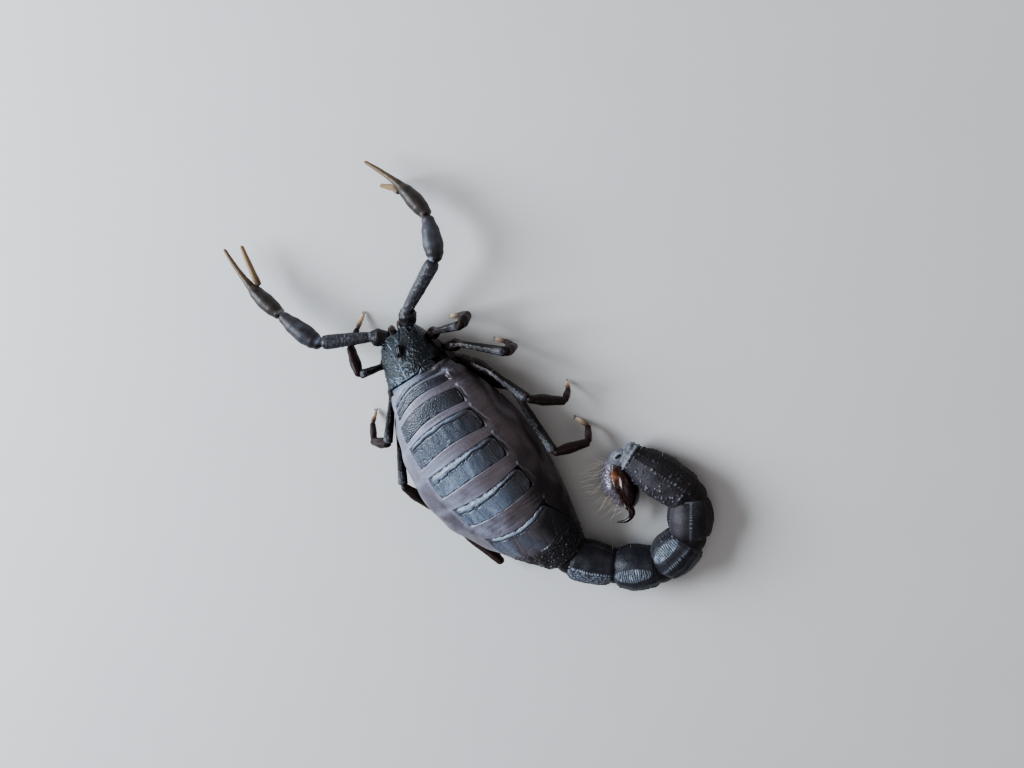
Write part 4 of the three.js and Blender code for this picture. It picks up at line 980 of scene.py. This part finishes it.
tail_rings = []
for number, (roll, (near, middle, far), tall, rasp, keels) in enumerate(TAIL, 1):
    start, end = np.array(TAIL_JOINTS[number - 1]), np.array(TAIL_JOINTS[number])
    heading = direction(start, end)
    overlap = 0.5 if number == 1 else 0.15
    path, along = rounded_path([start - overlap * heading, end + 0.15 * heading], TAIL_ROWS)
    length = np.linalg.norm(path[-1] - path[0])
    angle = around(TAIL_SIDES)
    last = float(number == 5)
    width = profile(along, [(0, near), (0.45, middle), (1, far)])
    width = width * (1 - 0.32 * np.clip(1 - along * length / 1.3, 0, 1) ** 2)
    waist = np.clip(1 - (1 - along) * length / (1.2 + 0.4 * last), 0, 1)
    width = width * (1 - (0.30 + 0.3 * last) * waist ** 2)
    along = along[:, None] + 0 * angle
    degrees = degrees_from(UPPER, angle) + 0 * along
    turn = np.radians(degrees)
    corners = (np.abs(np.cos(turn)) ** BOXINESS + np.abs(np.sin(turn)) ** BOXINESS) ** (-1 / BOXINESS)
    rings = sweep(path, width[:, None] * (0.96 + 0.04 * (corners - 1) / 0.17), tall, np.radians(roll))
    inside = ease(0.0, 0.14, along) * ease(1.0, 0.88, along)
    teeth = 2 * np.pi * along * length / (0.40 + 0.14 * last)
    saw = 0.5 + 0.5 * np.cos(teeth + 3 * ripple(rings, 2.5, 33 + number))
    fine = grains(rings, 0.26, 40 + number)
    coarse = grains(rings, 0.50, 50 + number, 0.55)
    lifted = 0.016 * fine + 0.05 * ripple(rings, 2.4, 45 + number)
    pale = 0.06 * fine ** 3
    warm = 0.10 + 0.12 * ripple(rings, 3.0, 70 + number) + 0.15 * last * bell(degrees, -62, 35)
    shade = 0.8 * ease(-95, -125, degrees) * ease(-185, -150, degrees) * (number > 3)
    for place, tooth, whiteness in keels:
        line = bell(degrees, place, 3.6) * inside
        lifted += tooth * line * ((0.40 - 0.25 * last) + 0.75 * saw)
        lifted -= 0.5 * tooth * bell(degrees, place + 11, 6) * inside * (number < 4)
        pale += whiteness * line * saw
    # The rasps' pale blue-silver is partly painted: it stands in for the window's reflection off their beads
    # and ribs.
    if rasp:
        centre, tilt, half, wide = rasp
        turned = degrees - tilt - 14 * (along - centre) * (number == 2)
        oval = ease(1.0, 0.80, np.sqrt(((along - centre) / half) ** 2 + (turned / wide) ** 2))
        if number == 1:
            cubed = np.abs((along - centre) / half) ** 3 + np.abs(turned / wide) ** 3
            oval = ease(1.0, 0.93, cubed ** (1 / 3))
            beads = grains(rings, 0.24, 62)
            row = bell(turned, 0.92 * wide, 2.6) * ease(half, 0.9 * half, np.abs(along - centre)) * saw
            lifted += oval * (0.07 * beads + 0.05) + 0.12 * row
            pale += oval * (0.65 * beads + 0.08) + 0.9 * row
        else:
            phase = 2 * np.pi * along * length / 0.34 + 0.05 * turned + 1.3 * ripple(rings, 1.2, 60)
            ribs = 0.5 + 0.5 * np.cos(phase)
            lifted += oval * (0.07 * ribs + 0.05 * fine - 0.02)
            pale += oval * (0.75 * ribs * (0.55 + 0.45 * ripple(rings, 1.5, 61) ** 2) + 0.20 * fine ** 2)
    if number == 3:
        knobs = bell(degrees, 18, 12) * ease(0.35, 0.55, along) * inside
        lifted += 0.12 * knobs * coarse
        pale += 0.10 * knobs * coarse
    if number == 4:
        strip = bell(degrees, -36 + 26 * (along - 0.4), 20) * ease(0.02, 0.4, along) * ease(0.98, 0.55, along)
        pale += 0.03 * strip * (0.3 + 0.7 * fine) - 0.05 * strip * fine ** 3
        warm += 0.55 * strip
    studs = last * (0.45 + 0.55 * bell(degrees, -60, 60))
    # The studs' pale tips are painted glints.
    tips = grains(rings, 0.46, 58, 0.32)
    lifted += studs * (0.22 * tips ** 1.5 + 0.025 * fine)
    pale += studs * 0.75 * tips ** 6 - 0.04 * last * fine ** 3
    warm += 0.15 * last
    hem = bell(along, 0.93, 0.012)
    lifted += 0.04 * hem * (0.6 + 0.4 * fine)
    pale += (0.04 + 0.40 * (number == 4) * bell(degrees, -50, 30)) * hem
    if last:
        knot = bell(along, 0.10, 0.02) * bell(degrees, -66, 14)
        arch = ease(0.87, 0.90, along)
        lumps = grains(rings, 0.6, 91) * arch
        crown = 0.2 + 0.8 * ease(10, 60, degrees)
        rim_line = bell(along, 0.895, 0.010)
        lifted += (0.20 * lumps * crown * ease(0.98, 0.94, along) - 0.12 * bell(along, 0.868, 0.012)
                   + 0.10 * arch + 0.08 * rim_line + 0.1 * knot)
        pale = pale * (1 - arch) + arch * (0.38 + 0.25 * lumps * crown + 0.3 * rim_line) + 0.7 * knot * fine
        warm = warm * (1 - arch) + 0.3 * arch
        shade = shade * (1 - arch)
    tail_rings.append(relief(rings, lifted))
    shells = [(tail_rings[-1], {"pale": pale, "warm": warm, "shade": shade}),
              (ball(start, (2.5, 2.5, 2.35 if number > 1 else 2.6)), {"shade": 0.7})]
    if last:
        path, along = rounded_path([end - 1.3 * heading, end + 0.75 * heading], 60)
        width = profile(along, [(0, 1.9), (0.5, 2.12), (1, 1.8)]) * end_caps(along, 2.05, 0.3, 1.0)
        collar = sweep(path, width[:, None] + 0 * angle[:, ::2], 0.92)
        bumps = grains(collar, 0.55, 92)
        collar_tones = {"pale": 0.34 + 0.25 * bumps + 0.1 * ripple(collar, 1.5, 93), "warm": 0.4}
        lips = ball((18.6, -12.1, 4.35), (1.55, 1.35, 0.86), 60, 90)
        lip_bumps = grains(lips, 0.50, 94) ** 2
        shells += [(relief(collar, 0.06 * bumps), collar_tones),
                   (relief(lips, 0.05 * lip_bumps), {"pale": 0.30 + 0.18 * lip_bumps, "warm": 0.5}),
                   (ball((18.88, -11.82, 5.03), (0.86, 0.58, 0.34), 24, 40), {"pale": 0.62, "warm": 0.6}),
                   (ball((18.9, -11.8, 5.12), (0.68, 0.38, 0.30), 24, 40), {"shade": 1.0})]
    horn = dull_shell if number > 3 else tail_shell
    piece(f"tail_ring_{number}", shells, horn, [f"tail_{number}"])


# ---- Telson --------------------------------------------------------------------------------------
# The venom bulb: rough and grey on its outer side, glossy dark red-brown on the inner one, drawn out
# into a thin, polished, hooked sting. It hangs from the last ring by a pale, soft collar.

telson_shell = horn_material(
    "telson_shell", (0.013, 0.0030, 0.0030), (0.030, 0.0062, 0.0050), (0.25, 0.235, 0.29), 0.20,
    warm=(0.24, 0.075, 0.022), coat=0.30, gloss=0.45, grain=0.04, cell=0.2)
BULB_ROWS, BULB_SIDES = 130, 150
bulb_joints = [(17.9, -11.6, 3.5), (16.5, -14.0, 3.2), (15.6, -17.0, 3.2), (15.2, -19.4, 3.2)]
path, along = rounded_path(bulb_joints, BULB_ROWS, 0.08)
length = path_length(path)
angle = around(BULB_SIDES)
width = profile(along, [(0, 1.2), (0.12, 1.75), (0.30, 2.55), (0.52, 2.88), (0.78, 2.05), (0.93, 1.05),
                        (1, 0.75)])
rings = sweep(path, (width * end_caps(along, length, 0.8, 0.35))[:, None] + 0 * angle, 0.95)
along = along[:, None] + 0 * angle
facing = np.sin(angle) + 0 * along
outer = ease(0.10, -0.30, facing + 0.10 * ripple(rings, 1.4, 81))
stud = grains(rings, 0.42, 82) * outer
bulb_height = 0.07 * stud + 0.02 * grains(rings, 0.22, 83) * outer - 0.05 * bell(facing, -0.12, 0.06)
bulb_tones = {"pale": outer * (0.55 + 0.35 * stud) + 0.3 * bell(along, 0.04, 0.07),
              "warm": 1.2 * bell(facing, 0.02, 0.20) * bell(along, 0.30, 0.09) * (np.cos(angle) > 0)}
bulb = (relief(rings, bulb_height), bulb_tones)
sting_joints = [(15.25, -18.7, 3.2), (14.9, -20.5, 3.2), (13.6, -21.0, 3.2), (11.9, -20.2, 3.2)]
path, along = rounded_path(sting_joints, 80, 0.14)
width = profile(along, [(0, 0.85), (0.25, 0.54), (0.6, 0.30), (1, 0.10)]) * end_caps(along, 5.0, 0.3, 0.3)
sting = sweep(path, width[:, None] + 0 * np.linspace(0, 1, 48)[None, :])
sting_tones = {"shade": 0.9 * ease(0.1, 0.5, along)[:, None]}
path, along = rounded_path([(17.75, -13.6, 4.0), (15.45, -19.5, 3.5)], 90, bow=(0.3, -0.1, 0.1))
width = 1.62 * np.sqrt(np.clip(1 - (2 * along - 1) ** 2, 4e-4, 1))
polished = sweep(path, width[:, None] + 0 * np.linspace(0, 1, 72)[None, :], 1.50)
amber = bell(polished[..., 0], 16.65, 0.34) * bell(polished[..., 1], -14.6, 0.60)
shells = [bulb, (sting, sting_tones), (polished, {"warm": amber})]
piece("venom_bulb", shells, telson_shell, ["telson"])


# ---- Bristles ------------------------------------------------------------------------------------
# Stiff golden hairs stand out all round the rough side of the venom bulb, and shorter, finer ones along
# the sides of the tail. Each tapers to a point.

bristle_horn = horn_material("bristle_horn", (0.70, 0.56, 0.46), (0.82, 0.70, 0.60), (0.8, 0.7, 0.6), 0.40,
                             grain=0.05, sub=0.2)


def bristles(name, roots, tips, bends, places, thick):
    """Tapered three-sided hairs on paths from roots to tips, each drawn aside by its bend in the middle.
    places are the roots' spots on an unwrap of the surface they grow from."""
    stations = np.array([0.0, 0.3, 0.6, 0.85, 1.0])
    count, steps = len(roots), len(stations)
    part = stations[None, :, None]
    spine = roots[:, None] + (tips - roots)[:, None] * part + bends[:, None] * 4 * part * (1 - part)
    heading = tips - roots
    aside = unit(np.cross(heading, (0.3, 0.5, 0.8)))
    over = unit(np.cross(heading, aside))
    turn = 2 * np.pi * np.arange(3) / 3
    radius = thick / 2 * (1 - 0.85 * stations ** 1.5)[None, :, None, None]
    spokes = np.cos(turn)[:, None] * aside[:, None, None] + np.sin(turn)[:, None] * over[:, None, None]
    points = to_frame((spine[:, :, None] + radius * spokes).reshape(-1, 3))
    row, side = np.meshgrid(np.arange(steps - 1), np.arange(3), indexing="ij")
    here, beside = row * 3 + side, row * 3 + (side + 1) % 3
    walls = np.stack([here, beside, beside + 3, here + 3], -1).reshape(-1, 4)
    first = (np.arange(count) * steps * 3)[:, None, None]
    quads = (walls + first).reshape(-1, 4)
    ends = (np.array([[2, 1, 0], [3 * steps - 3, 3 * steps - 2, 3 * steps - 1]]) + first).reshape(-1, 3)
    mesh = bpy.data.meshes.new(name)
    mesh.from_pydata(points.tolist(), [], quads.tolist() + ends.tolist())
    mesh.shade_smooth()
    corner = np.zeros(len(mesh.loops), int)
    mesh.loops.foreach_get("vertex_index", corner)
    hair, spot = corner // (steps * 3), corner % (steps * 3)
    patch = np.stack([spot // 3 / (steps - 1), spot % 3 / 2], -1) * 0.003
    mesh.uv_layers.new(name="OFBake").data.foreach_set("uv", (places[hair] + patch).ravel())
    mesh.materials.append(bristle_horn)
    made = add_object(name, mesh)
    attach(made, "root")


def in_box(points):
    """Whether points in millimetres lie inside the box of the solids."""
    placed = to_frame(points)
    return ((placed > BOX_LOW) & (placed < BOX_HIGH)).all(-1)


random = np.random.default_rng(7)
bulb_rings = bulb[0]
hair_count = 120
row = random.integers(12, BULB_ROWS - 4, hair_count)
column = random.integers(70, BULB_SIDES, hair_count)
roots = bulb_rings[row, column]
outward = unit(roots - bulb_rings[row].mean(1))
lean = unit(outward + (0.05, -0.05, 0.15) + random.normal(0, 0.22, (hair_count, 3)))
reach = random.uniform(1.7, 4.4, hair_count)[:, None]
tips = roots + lean * reach
bends = random.normal(0, 0.07, (hair_count, 3)) * reach
kept = in_box(tips) & (tips[:, 2] > 0.2)
places = np.stack([column / BULB_SIDES, row / BULB_ROWS], -1) * 0.99
bristles("bulb_bristles", roots[kept] - 0.1 * outward[kept], tips[kept], bends[kept], places[kept], 0.068)

hair_count = 200
ring = random.integers(0, len(TAIL), hair_count)
row, column = random.integers(20, TAIL_ROWS - 20, hair_count), random.integers(0, TAIL_SIDES, hair_count)
tail_points = np.stack(tail_rings)
roots = tail_points[ring, row, column]
outward = unit(roots - tail_points[ring, row].mean(1))
lean = outward + random.normal(0, 0.25, (hair_count, 3))
tips = roots + lean * random.uniform(0.5, 1.6, hair_count)[:, None]
kept = in_box(tips) & (tips[:, 2] > 0.2) & (np.abs(outward[:, 2]) < 0.4)
places = np.stack([(ring + row / TAIL_ROWS) / len(TAIL), column / TAIL_SIDES], -1) * 0.99
bristles("tail_hairs", roots[kept] - 0.05 * outward[kept], tips[kept], 0 * roots[kept], places[kept], 0.035)
